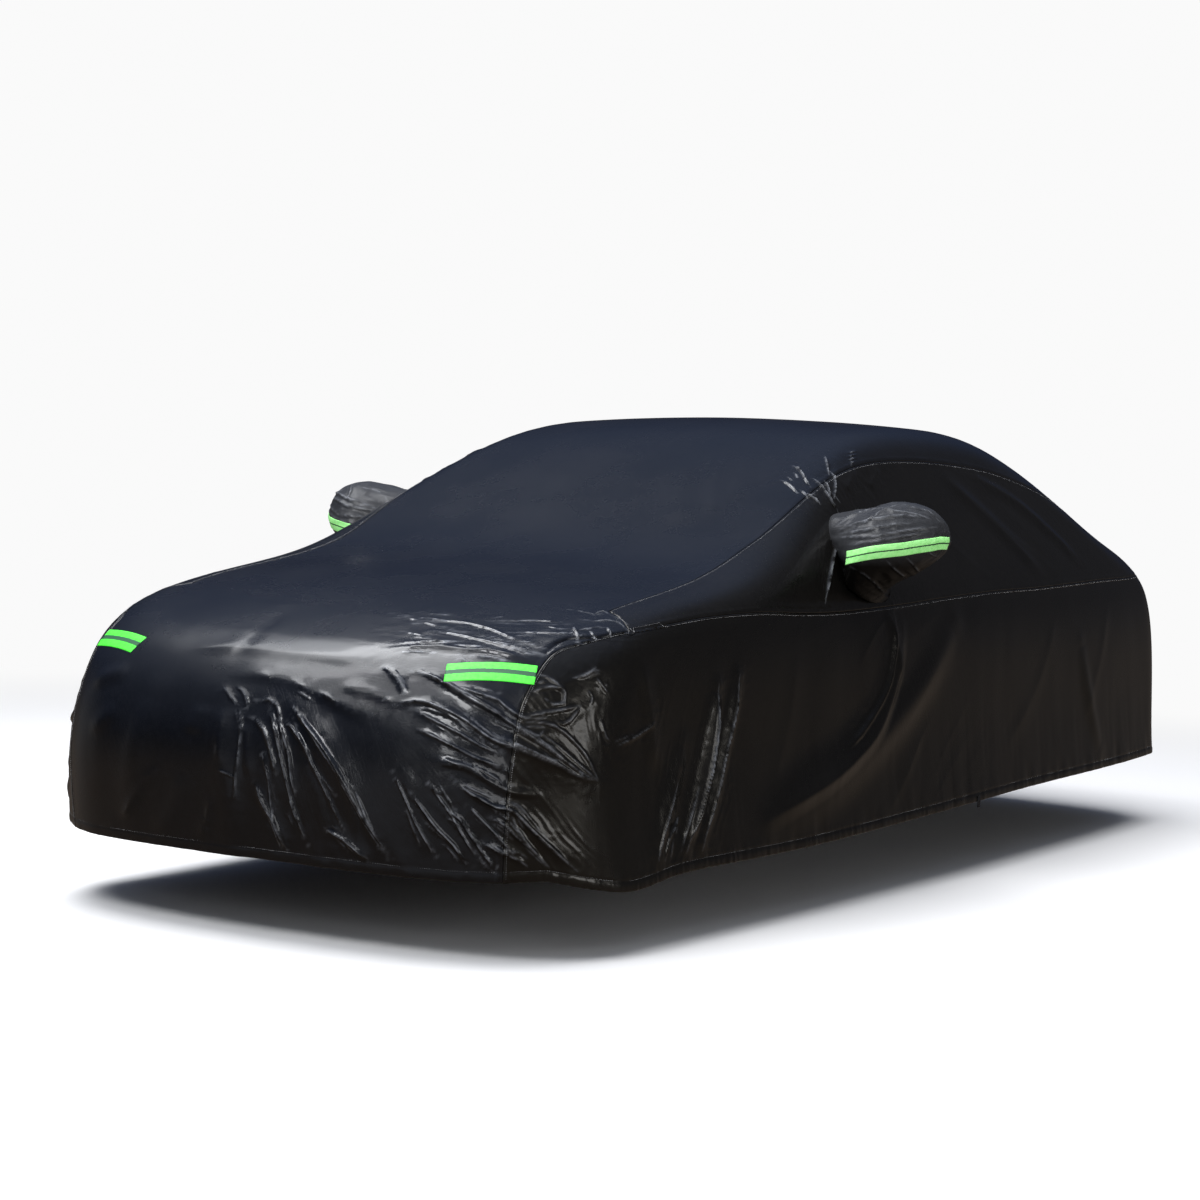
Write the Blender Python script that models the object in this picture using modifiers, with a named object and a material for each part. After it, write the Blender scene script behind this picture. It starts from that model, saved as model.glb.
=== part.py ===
"""Fitted car cover: a centre panel from front hem to rear hem, an upper and a
lower side panel on each side, mirror pockets, reflective strips and a hem tab.
Every panel is one closed sheet, hollow below, open at the hem.

Shape tables use: x along the length from mid-length towards the nose,
y towards the left, z above the floor. DATUM is the point of these coordinates
that becomes the origin: the underside of the cloth at the crown of the roof.
All sizes in metres."""

import math

import bmesh
import bpy
import numpy as np

# ------------------------------------------------------------ driving sizes
CLOTH = 0.002            # thickness of the coated cloth
SEAM_GAP = 0.0003        # clearance between neighbouring pieces
STRIP_THICK = 0.001      # thickness of a reflective strip
HEM_TURN = 0.020         # width of the hem's inward turn
CROWN_X = -0.45          # station of the roof's crown
NOSE_X = 2.316           # foremost point on the centreline
TAIL_X = 2.502           # rearmost point on the centreline, behind mid-length
BELT_Z = 0.847           # height from which the sides lean in
LEAN_IN = 0.55           # sideways lean per metre of height above the belt

# centreline height of the top surface: station x, height z, rounding r
TOP = (
    (-2.70, 0.986, 0.00),
    (-2.35, 1.049, 0.25),
    (-1.80, 1.094, 0.35),
    (-1.05, 1.565, 0.50),
    (-0.40, 1.490, 0.50),
    (0.20, 1.551, 0.50),
    (1.00, 0.978, 0.35),
    (1.70, 0.993, 0.50),
    (2.15, 0.806, 0.35),
    (2.50, 0.624, 0.00),
)
# half width of the lower body: station x, half width y, rounding r
WIDE = (
    (-2.7, 0.841, 0.0),
    (-1.9, 0.916, 0.6),
    (-0.3, 0.945, 1.2),
    (1.2, 0.900, 0.9),
    (2.3, 0.811, 0.0),
)
# side border of the centre panel on the left, hem to hem:
# piece name, x, y, z of the border, x and z of the matching centreline point
BORDER = (
    ("nose", 2.120, 0.670, 0.205, 2.240, 0.205),
    ("nose", 2.145, 0.685, 0.330, 2.262, 0.340),
    ("nose", 2.140, 0.688, 0.470, 2.262, 0.480),
    ("nose", 2.110, 0.688, 0.600, 2.232, 0.600),
    ("nose", 2.060, 0.690, 0.680, 2.160, 0.705),
    ("nose", 1.960, 0.692, 0.755, 2.040, 0.770),
    ("nose", 1.860, 0.735, 0.785, 1.930, 0.805),
    ("nose", 1.738, 0.777, 0.809, 1.810, 0.840),
    ("tuck", 1.672, 0.676, 0.852, 1.740, 0.860),
    ("side", 1.480, 0.685, 0.886, 1.540, 0.900),
    ("side", 1.290, 0.678, 0.915, 1.340, 0.930),
    ("side", 1.126, 0.667, 0.946, 1.165, 0.965),
    ("side", 0.950, 0.662, 0.997, 0.980, 1.010),
    ("side", 0.826, 0.672, 1.046, 0.855, 1.060),
    ("side", 0.700, 0.677, 1.102, 0.730, 1.115),
    ("side", 0.506, 0.674, 1.180, 0.530, 1.215),
    ("side", 0.286, 0.665, 1.245, 0.300, 1.315),
    ("side", 0.010, 0.657, 1.283, 0.010, 1.387),
    ("side", -0.380, 0.655, 1.293, -0.380, 1.418),
    ("side", -0.820, 0.662, 1.280, -0.820, 1.413),
    ("side", -1.120, 0.677, 1.245, -1.130, 1.360),
    ("side", -1.340, 0.688, 1.200, -1.370, 1.275),
    ("side", -1.600, 0.700, 1.140, -1.640, 1.165),
    ("side", -1.900, 0.700, 1.050, -1.950, 1.080),
    ("side", -2.080, 0.690, 1.000, -2.160, 1.040),
    ("tuck", -2.180, 0.735, 0.930, -2.300, 0.990),
    ("tail", -2.270, 0.690, 0.820, -2.400, 0.880),
    ("tail", -2.330, 0.650, 0.660, -2.470, 0.680),
    ("tail", -2.345, 0.640, 0.480, -2.490, 0.480),
    ("tail", -2.330, 0.640, 0.262, -2.470, 0.262),
)
# belt seam on the left, corner to corner: station x, height z
BELT = (
    (1.738, 0.809), (1.570, 0.826), (1.360, 0.842), (1.100, 0.848),
    (0.900, 0.842), (0.700, 0.840), (0.460, 0.846), (0.180, 0.857),
    (-0.080, 0.870), (-0.500, 0.886), (-0.930, 0.894), (-1.560, 0.912),
    (-1.900, 0.918), (-2.180, 0.930),
)
# height of the hem along the length: station x, height z, rounding r
HEM = (
    (-2.45, 0.263, 0.0),
    (-1.80, 0.260, 0.3),
    (-0.65, 0.247, 0.3),
    (0.00, 0.226, 0.3),
    (0.95, 0.197, 0.3),
    (1.62, 0.203, 0.1),
    (1.84, 0.160, 0.1),
    (2.06, 0.203, 0.1),
    (2.40, 0.205, 0.0),
)
# rows of cells along each piece of the border, and their crowding
CELLS = {"nose": 8, "tuck": 5, "side": 36, "tail": 8}
ACROSS = 12              # cells across the centre panel
# share of the side's cells by station: from x, to x, cells
SIDE_STATIONS = (
    (1.672, 1.190, 11),
    (1.190, 0.650, 4),
    (0.650, 0.190, 6),
    (0.190, -2.080, 15),
)
# main folds: half width w and height h of a rounded ridge, through three
# points start, middle, end (x, y, z)
FOLDS = (
    # name, w, h, start, middle, end
    ("sweep", 0.055, 0.016, (-0.13, 0.87, 0.80), (0.38, 0.90, 0.49), (1.12, 0.90, 0.27)),
    ("flank_a", 0.026, 0.016, (1.38, 0.85, 0.66), (1.46, 0.86, 0.44), (1.57, 0.87, 0.26)),
    ("flank_b", 0.024, 0.013, (1.27, 0.85, 0.68), (1.35, 0.86, 0.50), (1.49, 0.88, 0.26)),
    ("flank_c", 0.030, 0.009, (1.55, 0.85, 0.52), (1.63, 0.86, 0.38), (1.70, 0.87, 0.25)),
    ("nose_a", 0.040, 0.010, (2.23, 0.09, 0.60), (2.26, 0.25, 0.48), (2.22, 0.42, 0.24)),
    ("nose_b", 0.040, 0.008, (2.23, -0.11, 0.60), (2.27, -0.07, 0.40), (2.25, -0.06, 0.24)),
    ("nose_c", 0.045, 0.008, (2.20, -0.34, 0.58), (2.24, -0.38, 0.42), (2.21, -0.42, 0.24)),
    ("corner_a", 0.034, 0.011, (2.18, 0.53, 0.58), (2.08, 0.74, 0.50), (1.94, 0.81, 0.45)),
    ("corner_b", 0.030, 0.009, (2.21, 0.57, 0.43), (2.12, 0.71, 0.36), (1.99, 0.80, 0.25)),
    ("right_a", 0.050, 0.012, (0.10, -0.88, 0.76), (0.42, -0.90, 0.50), (0.95, -0.91, 0.27)),
    ("right_b", 0.030, 0.012, (1.42, -0.85, 0.64), (1.48, -0.86, 0.44), (1.60, -0.87, 0.26)),
    ("right_c", 0.030, 0.010, (-1.35, -0.87, 0.72), (-1.42, -0.89, 0.50), (-1.50, -0.91, 0.30)),
    ("left_rear", 0.040, 0.008, (-1.25, 0.87, 0.70), (-1.32, 0.89, 0.50), (-1.42, 0.91, 0.32)),
    ("tail_a", 0.045, 0.009, (-2.46, 0.20, 0.70), (-2.49, 0.26, 0.50), (-2.46, 0.34, 0.30)),
    ("tail_b", 0.045, 0.008, (-2.46, -0.25, 0.68), (-2.48, -0.20, 0.50), (-2.46, -0.24, 0.30)),
)
# oval hole for the mirror in the upper side panel, seen from the side
MOUTH = {"x": 0.415, "z": 0.990, "half_x": 0.145, "half_z": 0.130, "lean": 0.035}
# mirror pocket, rings from the mouth outwards: centre x, y, z, half width in
# x, reach up, reach down, least distance off the panel
POCKET = (
    (0.458, 0.868, 1.000, 0.178, 0.146, 0.126, 0.014),
    (0.478, 0.935, 1.019, 0.168, 0.141, 0.116, 0.030),
    (0.483, 1.000, 1.034, 0.138, 0.123, 0.097, 0.050),
    (0.479, 1.053, 1.045, 0.099, 0.095, 0.076, 0.070),
    (0.474, 1.085, 1.050, 0.066, 0.062, 0.053, 0.090),
    (0.470, 1.098, 1.052, 0.038, 0.033, 0.031, 0.100),
)
POCKET_TIP = (0.470, 1.102, 1.052)
POCKET_ROUND = 16        # cells round a pocket
POCKET_CELLS = 10        # rings from the mouth to the last ring
# width of the strip across a pocket, and how far its middle line lies below
# the pocket's foremost line: at the root, halfway and at the outer end
POCKET_STRIP = 0.041
POCKET_STRIP_DROP = (0.003, 0.012, 0.004)
# reflective strips on the nose: length, width, rise along the length, and the
# distance out and the height of each one's middle, as unevenly as they hang
NOSE_STRIP = {"long": 0.226, "wide": 0.060, "rise": 0.055}
NOSE_STRIP_AT = {"left": (0.588, 0.700), "right": (0.595, 0.712)}
# webbing tab at the left hem
TAB = {"x": -0.245, "long": 0.036, "wide": 0.019, "thick": 0.002, "drop": 0.020}

COLOURS = {
    # name: base colour, roughness
    "cloth_top": ((0.022, 0.026, 0.038), 0.42),
    "cloth_side": ((0.020, 0.020, 0.023), 0.40),
    "pocket": ((0.030, 0.031, 0.035), 0.38),
    "strip_lime": ((0.12, 0.95, 0.07), 0.45),
    "strip_pale": ((0.33, 0.86, 0.37), 0.45),
    "webbing": ((0.012, 0.012, 0.013), 0.70),
}


# ------------------------------------------------------------ the draped form
def ramp(d, r):
    """A bend from level to slope one, rounded over about r."""
    return 0.5 * (d + np.sqrt(d * d + r * r))


def table_line(x, rows):
    """Straight runs through the rows (at, value, rounding), bends rounded."""
    slopes = [(b[1] - a[1]) / (b[0] - a[0]) for a, b in zip(rows, rows[1:])]
    out = rows[0][1] + slopes[0] * (x - rows[0][0])
    for row, before, after in zip(rows[1:], slopes, slopes[1:]):
        out = out + (after - before) * ramp(x - row[0], row[2])
    return out


def round_max(a, b, k):
    """The larger of a and b, with the corner rounded over k."""
    h = np.maximum(k - np.abs(a - b), 0) / k
    return np.maximum(a, b) + 0.25 * k * h * h


def step(x, at, over):
    """From 1 below the place to 0 above it."""
    return 0.5 * (1 - np.tanh((x - at) / over))


def form(p):
    """Zero on the outer face of the draped cloth, negative under it."""
    x, z = p[..., 0], p[..., 2]
    y = np.sqrt(p[..., 1] ** 2 + 1e-6)
    crown = 0.033 + 0.018 * step(x, 0.6, 0.4)
    top = z - table_line(x, TOP) + crown * (y / 0.8) ** 2.2
    side = y - (
        table_line(x, WIDE)
        - LEAN_IN * ramp(z - BELT_Z, 0.143)
        + 0.148 * ramp(0.45 - z, 0.15)
    )
    nose = x - (
        NOSE_X
        - 0.139 * (y / 0.8) ** 2.3
        - 0.705 * ramp(z - 0.55, 0.15)
        - 0.25 * ramp(0.45 - z, 0.10)
    )
    tail = -x - (
        TAIL_X
        - 0.159 * (y / 0.8) ** 2.2
        - 0.70 * ramp(z - 0.85, 0.20)
        - 0.25 * ramp(0.50 - z, 0.10)
    )
    walls = round_max(round_max(side, nose, 0.293), tail, 0.239)
    edge = 0.090 - 0.005 * step(x, 1.6, 0.25) + 0.086 * step(x, -2.0, 0.25)
    return round_max(walls, top, edge)


def outward(p):
    """Unit normals of the form."""
    h = 5e-4
    grads = [
        form(p + h * np.eye(3)[k]) - form(p - h * np.eye(3)[k]) for k in range(3)
    ]
    g = np.stack(grads, axis=-1) / (2 * h)
    return g, g / np.linalg.norm(g, axis=-1, keepdims=True)


def settle(p, steps=10):
    """Move points along the normals onto the form."""
    p = np.array(p, float)
    for _ in range(steps):
        g, _n = outward(p)
        p = p - (form(p) / (g * g).sum(-1))[..., None] * g
    return p


def settle_sideways(p):
    """Move points along y onto the form's left side, keeping x and z."""
    p = np.array(p, float)
    p[..., 1] = 1.3
    for _ in range(40):
        g, _n = outward(p)
        p[..., 1] -= form(p) / np.maximum(g[..., 1], 0.25)
    return p


def arc_points(start, middle, end, count=15):
    """Points of the parabola through three points, laid on the form."""
    t = np.linspace(0, 1, count)[:, None]
    a, m, b = np.array(start), np.array(middle), np.array(end)
    c = 2 * m - 0.5 * (a + b)
    return settle((1 - t) ** 2 * a + 2 * t * (1 - t) * c + t * t * b)


def fold_height(p):
    """How far the cloth stands off the form at points on the form."""
    out = np.zeros(p.shape[:-1])
    for _name, wide, high, start, middle, end in FOLDS:
        line = arc_points(start, middle, end)
        near = np.full(out.shape, 9.0)
        along = np.zeros(out.shape)
        for k, (a, b) in enumerate(zip(line, line[1:])):
            t = np.clip(((p - a) @ (b - a)) / ((b - a) @ (b - a)), 0, 1)
            d = np.linalg.norm(p - a - t[..., None] * (b - a), axis=-1)
            along = np.where(d < near, (k + t) / (len(line) - 1), along)
            near = np.minimum(near, d)
        fade = np.sin(np.pi * np.clip(along, 0.04, 0.96)) ** 0.6
        out += high * fade * np.exp(-((near / wide) ** 2))
    return out


# ------------------------------------------------------------ curves on the form
def smooth_path(points, share):
    """Points at the given shares of a Catmull-Rom curve's length."""
    p = np.array(points, float)
    p = np.vstack([2 * p[0] - p[1], p, 2 * p[-1] - p[-2]])
    fine = []
    for i in range(1, len(p) - 2):
        t = np.linspace(0, 1, 12, endpoint=False)[:, None]
        fine.append(
            0.5
            * (
                2 * p[i]
                + t * (p[i + 1] - p[i - 1])
                + t**2 * (2 * p[i - 1] - 5 * p[i] + 4 * p[i + 1] - p[i + 2])
                + t**3 * (3 * p[i] - p[i - 1] - 3 * p[i + 1] + p[i + 2])
            )
        )
    fine = np.vstack([*fine, p[-2][None]])
    size = np.linalg.norm(np.diff(fine, axis=0), axis=1)
    length = np.concatenate([[0], np.cumsum(size)])
    at = np.asarray(share) * length[-1]
    return np.stack([np.interp(at, length, fine[:, k]) for k in range(p.shape[1])], 1)


def by_station(points, stations):
    """Points of a Catmull-Rom curve at the given x, for a path running to -x."""
    fine = smooth_path(points, np.linspace(0, 1, 400))
    return np.stack(
        [np.interp(-np.asarray(stations), -fine[:, 0], fine[:, k]) for k in range(fine.shape[1])],
        1,
    )


def side_stations():
    runs = [np.linspace(a, b, n, endpoint=False) for a, b, n in SIDE_STATIONS]
    return np.concatenate([*runs, [SIDE_STATIONS[-1][1]]])


def border_rows():
    """The centre panel's left border and its centreline, row by row, with the
    row numbers where the pieces of the border meet."""
    rows = [np.array(row[1:], float) for row in BORDER]
    names = [row[0] for row in BORDER]
    joint = names.index("tuck")                   # the front tuck's upper end
    last_side = len(names) - 1 - names[::-1].index("side")
    nose = smooth_path(rows[:joint], np.linspace(0, 1, CELLS["nose"] + 1))
    tuck = np.linspace(nose[-1], rows[joint], CELLS["tuck"] + 1)[1:]
    side = by_station(rows[joint : last_side + 1], side_stations())[1:]
    back = np.linspace(side[-1], rows[last_side + 1], CELLS["tuck"] + 1)[1:]
    tail = smooth_path(rows[last_side + 1 :], np.linspace(0, 1, CELLS["tail"] + 1))[1:]
    table = np.vstack([nose, tuck, side, back, tail])
    marks = np.cumsum([0, CELLS["nose"], CELLS["tuck"], CELLS["side"], CELLS["tuck"], CELLS["tail"]])
    border = settle(table[:, :3])
    centre = settle(np.stack([table[:, 3], 0 * table[:, 3], table[:, 4]], 1))
    centre[:, 1] = 0
    return border, centre, marks


def belt_line(border, marks):
    """The belt seam, one point for each column of the side panels."""
    front, rear = border[marks[1]], border[marks[4]]
    x = side_stations()
    x = front[0] + (x - x[0]) * (rear[0] - front[0]) / (x[-1] - x[0])
    z = by_station([(a, b) for a, b in BELT], np.clip(x, BELT[-1][0], BELT[0][0]))[:, 1]
    points = settle_sideways(np.stack([x, 0 * x, z], 1))
    points[0], points[-1] = front, rear
    return points


def hem_line(border, marks):
    """The side's hem, one point for each column of the lower side panel."""
    front, rear = border[0], border[-1]
    x = side_stations()
    x = front[0] + (x - x[0]) * (rear[0] - front[0]) / (x[-1] - x[0])
    guess = np.stack([x, 0.93 - 0.2 * np.abs(x / 2.35) ** 8, table_line(x, HEM)], 1)
    points = settle(guess)
    points[0], points[-1] = front, rear
    return points


def fill_patch(top, bottom, front, rear):
    """Points inside four border curves, laid on the form: [column, row]."""
    u = np.linspace(0, 1, len(top))[:, None, None]
    v = np.linspace(0, 1, len(front))[None, :, None]
    patch = (
        (1 - v) * top[:, None] + v * bottom[:, None]
        + (1 - u) * front[None] + u * rear[None]
        - (1 - u) * (1 - v) * top[0] - u * (1 - v) * top[-1]
        - (1 - u) * v * bottom[0] - u * v * bottom[-1]
    )
    inner = settle(patch)
    inner[0], inner[-1], inner[:, 0], inner[:, -1] = front, rear, top, bottom
    return inner


def flip(points):
    """The same points on the other side."""
    return points * np.array([1, -1, 1])


# ------------------------------------------------------------ solids
def draw_in(grid, by, edges):
    """Shift a grid's named border lines into the sheet by a small distance."""
    grid = grid.copy()
    _g, n = outward(grid)
    moves = np.zeros_like(grid)
    lines = {
        "first": (0, slice(None)), "last": (-1, slice(None)),
        "low": (slice(None), 0), "high": (slice(None), -1),
    }
    inner = {
        "first": (1, slice(None)), "last": (-2, slice(None)),
        "low": (slice(None), 1), "high": (slice(None), -2),
    }
    for edge in edges:
        line = grid[lines[edge]]
        along = np.gradient(line, axis=0)
        across = np.cross(n[lines[edge]], along)
        across /= np.linalg.norm(across, axis=1, keepdims=True)
        side = np.sign(((grid[inner[edge]] - line) * across).sum())
        old, new = moves[lines[edge]], across * side
        # where two edges meet, the corner keeps its distance to both
        both = (old * new).sum(1, keepdims=True)
        corner = np.linalg.norm(old, axis=1, keepdims=True) > 0
        moves[lines[edge]] = np.where(corner, (old + new) / (1 + both), new)
    return grid + by * moves


def cloth_solid(name, outer, inner, cells, slot, shared):
    """One closed sheet from two layers of points and the cells between them."""
    count = len(outer)
    edges = {}
    for cell in cells:
        for a, b in zip(cell, cell[1:] + cell[:1]):
            edges[(a, b)] = edges.get((a, b), 0) + 1
    rim = [(a, b) for a, b in edges if (b, a) not in edges]
    faces = [list(cell) for cell in cells]
    faces += [[count + k for k in turned_over(cell)] for cell in cells]
    order = np.abs(outer) @ np.array([1.0, 0.11, 0.37])
    for a, b in rim:
        # neighbouring rims split their faces along the same diagonal
        if order[a] > order[b]:
            faces += [[b, a, count + b], [a, count + a, count + b]]
        else:
            faces += [[b, a, count + a], [b, count + a, count + b]]
    mesh = bpy.data.meshes.new(name)
    mesh.from_pydata([tuple(p) for p in np.vstack([outer, inner])], [], faces)
    work = bmesh.new()
    work.from_mesh(mesh)
    bmesh.ops.recalc_face_normals(work, faces=work.faces)
    work.to_mesh(mesh)
    work.free()
    mesh.shade_smooth()
    mesh.set_sharp_from_angle(angle=math.radians(50))
    mesh.materials.append(slot)
    obj = bpy.data.objects.new(name, mesh)
    shared["collection"].objects.link(obj)
    obj.parent = shared["datum"]
    return obj


def turned_over(cell):
    """The same cell seen from behind, split along the same diagonal."""
    return cell[:1] + cell[:0:-1]


def grid_cells(columns, rows, turned=False, skip=()):
    cells = []
    for i in range(columns):
        for j in range(rows):
            if (i, j) in skip:
                continue
            a, b = i * (rows + 1) + j, (i + 1) * (rows + 1) + j
            cell = [a, a + 1, b + 1, b] if turned else [a, b, b + 1, a + 1]
            cells.append(cell)
    return cells


def layers(grid, lift=0.0, thick=CLOTH):
    """Outer and inner layer of cloth whose outer face stands on the form."""
    _g, n = outward(grid)
    high = (fold_height(grid) + lift)[..., None]
    return grid + n * high, grid + n * (high - thick)


def with_hem(outer, inner, row):
    """Add the hem's inward turn beyond the given last row of both layers."""
    edge = outer[row]
    _g, n = outward(edge)
    n[..., 2] = 0
    n /= np.linalg.norm(n, axis=-1, keepdims=True)
    up = np.array([0.0, 0.0, CLOTH])
    return edge - n * HEM_TURN, edge - n * HEM_TURN + up, edge - n * CLOTH + up


def centre_panel(border, centre, shared):
    """Rows from front hem to rear hem, columns from the left to the right."""
    v = np.linspace(1, -1, ACROSS + 1)
    left, right = border, flip(border)
    rows = []
    for c, a, b in zip(centre, left, right):
        w = np.abs(v)[:, None]
        tip = np.where(v[:, None] > 0, a, b)
        rows.append(c * (1 - w**2) + tip * w**2)
        rows[-1][:, 1] = tip[:, 1] * np.abs(v)
    grid = settle(np.array(rows))
    grid[:, 0], grid[:, -1] = left, right
    grid = draw_in(grid, SEAM_GAP / 2, ("low", "high"))
    outer, inner = layers(grid)
    for row, put in ((0, 0), (-1, len(outer))):
        turn, turn_in, corner = with_hem(outer, inner, row)
        inner[row] = corner
        outer = np.insert(outer, put if put == 0 else len(outer), turn, axis=0)
        inner = np.insert(inner, put if put == 0 else len(inner), turn_in, axis=0)
    cells = grid_cells(len(outer) - 1, ACROSS, turned=True)
    return cloth_solid(
        "centre_panel", outer.reshape(-1, 3), inner.reshape(-1, 3), cells,
        shared["cloth_top"], shared,
    )


def lower_panel(border, marks, belt, hem, left, shared):
    front = border[: marks[1] + 1][::-1]
    rear = border[marks[4] :]
    grid = fill_patch(belt, hem, front, rear)
    if not left:
        grid = flip(grid)
    grid = draw_in(grid, SEAM_GAP / 2, ("first", "last", "low"))
    outer, inner = layers(grid)
    turn, turn_in, corner = with_hem(outer, inner, (slice(None), -1))
    inner[:, -1] = corner
    outer = np.concatenate([outer, turn[:, None]], axis=1)
    inner = np.concatenate([inner, turn_in[:, None]], axis=1)
    cells = grid_cells(outer.shape[0] - 1, outer.shape[1] - 1, turned=not left)
    return cloth_solid(
        "side_lower_" + ("left" if left else "right"),
        outer.reshape(-1, 3), inner.reshape(-1, 3), cells, shared["cloth_side"], shared,
    )


def mouth_points(angles, grow=1.0):
    """Points of the mirror hole's oval on the left side."""
    x = MOUTH["x"] + grow * MOUTH["half_x"] * np.cos(angles)
    x = x + grow * MOUTH["lean"] * np.sin(angles)
    z = MOUTH["z"] + grow * MOUTH["half_z"] * np.sin(angles)
    return settle_sideways(np.stack([x, 0 * x, z], -1))


def upper_panel(border, marks, belt, left, shared):
    top = border[marks[2] : marks[3] + 1]
    front = border[marks[1] : marks[2] + 1][::-1]
    rear = border[marks[3] : marks[4] + 1]
    grid = fill_patch(top, belt, front, rear)
    # the mirror hole: a block of cells left out, its border drawn onto the oval
    inside = [
        i for i in range(len(grid))
        if abs(grid[i, 3, 0] - MOUTH["x"]) < 1.05 * MOUTH["half_x"]
    ]
    first, last = inside[0], inside[-1]
    block = [(i, 1) for i in range(first, last + 1)]
    block += [(last, j) for j in (2, 3)]
    block += [(i, 4) for i in range(last, first - 1, -1)]
    block += [(first, j) for j in (3, 2)]
    angle = np.array([
        math.atan2(
            (grid[i, j, 2] - MOUTH["z"]) / MOUTH["half_z"],
            (grid[i, j, 0] - MOUTH["x"]) / MOUTH["half_x"],
        )
        for i, j in block
    ])
    for (i, j), point in zip(block, mouth_points(angle, 0.96)):
        grid[i, j] = point
    skip = {(i, j) for i in range(first, last) for j in range(1, 4)}
    if not left:
        grid = flip(grid)
    grid = draw_in(grid, SEAM_GAP / 2, ("first", "last", "low", "high"))
    outer, inner = layers(grid)
    cells = grid_cells(grid.shape[0] - 1, grid.shape[1] - 1, turned=not left, skip=skip)
    used = sorted({k for cell in cells for k in cell})
    renumber = {k: i for i, k in enumerate(used)}
    cells = [[renumber[k] for k in cell] for cell in cells]
    return cloth_solid(
        "side_upper_" + ("left" if left else "right"),
        outer.reshape(-1, 3)[used], inner.reshape(-1, 3)[used], cells,
        shared["cloth_side"], shared,
    )


def pocket_rings(angles, part):
    """Rings of a left pocket at the given parts (0 mouth to 1 last ring)."""
    mouth = mouth_points(angles)
    _g, n = outward(mouth)
    rings = [mouth + n * SEAM_GAP]
    for x, y, z, half, up, down, off in POCKET:
        c, s = np.cos(angles), np.sin(angles)
        lift = np.where(s > 0, up, down) * s
        # the lower part leans back towards the panel
        ring = np.stack([x + half * c, y - 0.35 * np.maximum(-lift, 0), z + lift], -1)
        ring[:, 1] = np.maximum(ring[:, 1], settle_sideways(ring)[:, 1] + off)
        rings.append(ring)
    rings = np.array(rings)
    count = len(rings)
    size = np.linspace(0, 1, count)
    padded = np.concatenate([2 * rings[:1] - rings[1:2], rings, 2 * rings[-1:] - rings[-2:-1]])
    out = []
    for share in part:
        k = min(int(share * (count - 1)), count - 2)
        t = share * (count - 1) - k
        a, b, c, d = padded[k : k + 4]
        out.append(
            0.5 * (2 * b + t * (c - a) + t**2 * (2 * a - 5 * b + 4 * c - d) + t**3 * (3 * b - a - 3 * c + d))
        )
    return np.array(out)


def surface_normals(points, around):
    """Normals of a grid of points, closed round its second direction or not."""
    du = np.gradient(points, axis=0)
    if around:
        dv = np.roll(points, -1, axis=1) - np.roll(points, 1, axis=1)
    else:
        dv = np.gradient(points, axis=1)
    n = np.cross(du, dv)
    return n / np.linalg.norm(n, axis=-1, keepdims=True)


def pocket(left, shared):
    angles = np.linspace(0, 2 * math.pi, POCKET_ROUND, endpoint=False)
    rings = pocket_rings(angles, np.linspace(0, 1, POCKET_CELLS))
    n = surface_normals(rings, True)
    inner = rings - n * CLOTH
    _g, flat = outward(rings[0])
    inward = rings[0].mean(axis=0) - rings[0]
    inward -= (inward * flat).sum(1, keepdims=True) * flat
    inner[0] = rings[0] + CLOTH * inward / np.linalg.norm(inward, axis=1, keepdims=True)
    tip = np.array([POCKET_TIP])
    outer = np.vstack([rings.reshape(-1, 3), tip])
    inner = np.vstack([inner.reshape(-1, 3), tip - [[0, CLOTH, 0]]])
    if not left:
        outer, inner = flip(outer), flip(inner)
    cells = []
    m = POCKET_ROUND
    for i in range(len(rings) - 1):
        for j in range(m):
            a, b = i * m + j, i * m + (j + 1) % m
            cells.append([b, a, a + m, b + m])
    last = (len(rings) - 1) * m
    cells += [[last + (j + 1) % m, last + j, len(rings) * m] for j in range(m)]
    if not left:
        cells = [turned_over(cell) for cell in cells]
    return cloth_solid(
        "mirror_pocket_" + ("left" if left else "right"), outer, inner, cells,
        shared["pocket"], shared,
    )


def nose_strip(left, shared):
    """A strip laid on the nose, level, beside the corner seam."""
    across = np.linspace(-0.5, 0.5, 9) * NOSE_STRIP["long"]
    high = np.array([0.5, 0.0, -0.5]) * NOSE_STRIP["wide"]
    out, height = NOSE_STRIP_AT["left" if left else "right"]
    middle = settle(np.array([[2.08, out, height]]))[0]
    _g, n = outward(middle[None])
    run = np.array([-n[0, 1], n[0, 0], 0.0])
    run /= np.linalg.norm(run)
    run[2] = NOSE_STRIP["rise"]
    up = np.cross(n[0], run)
    up *= np.sign(up[2]) / np.linalg.norm(up)
    grid = settle(middle + across[:, None, None] * run + high[None, :, None] * up)
    _g, n = outward(grid)
    low = grid + n * (SEAM_GAP + 0.0006)
    top = low + n * STRIP_THICK
    if not left:
        top, low = flip(top), flip(low)
    return cloth_solid(
        "strip_front_" + ("left" if left else "right"),
        top.reshape(-1, 3), low.reshape(-1, 3), grid_cells(8, 2, turned=not left),
        shared["strip_lime"], shared,
    )


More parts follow.
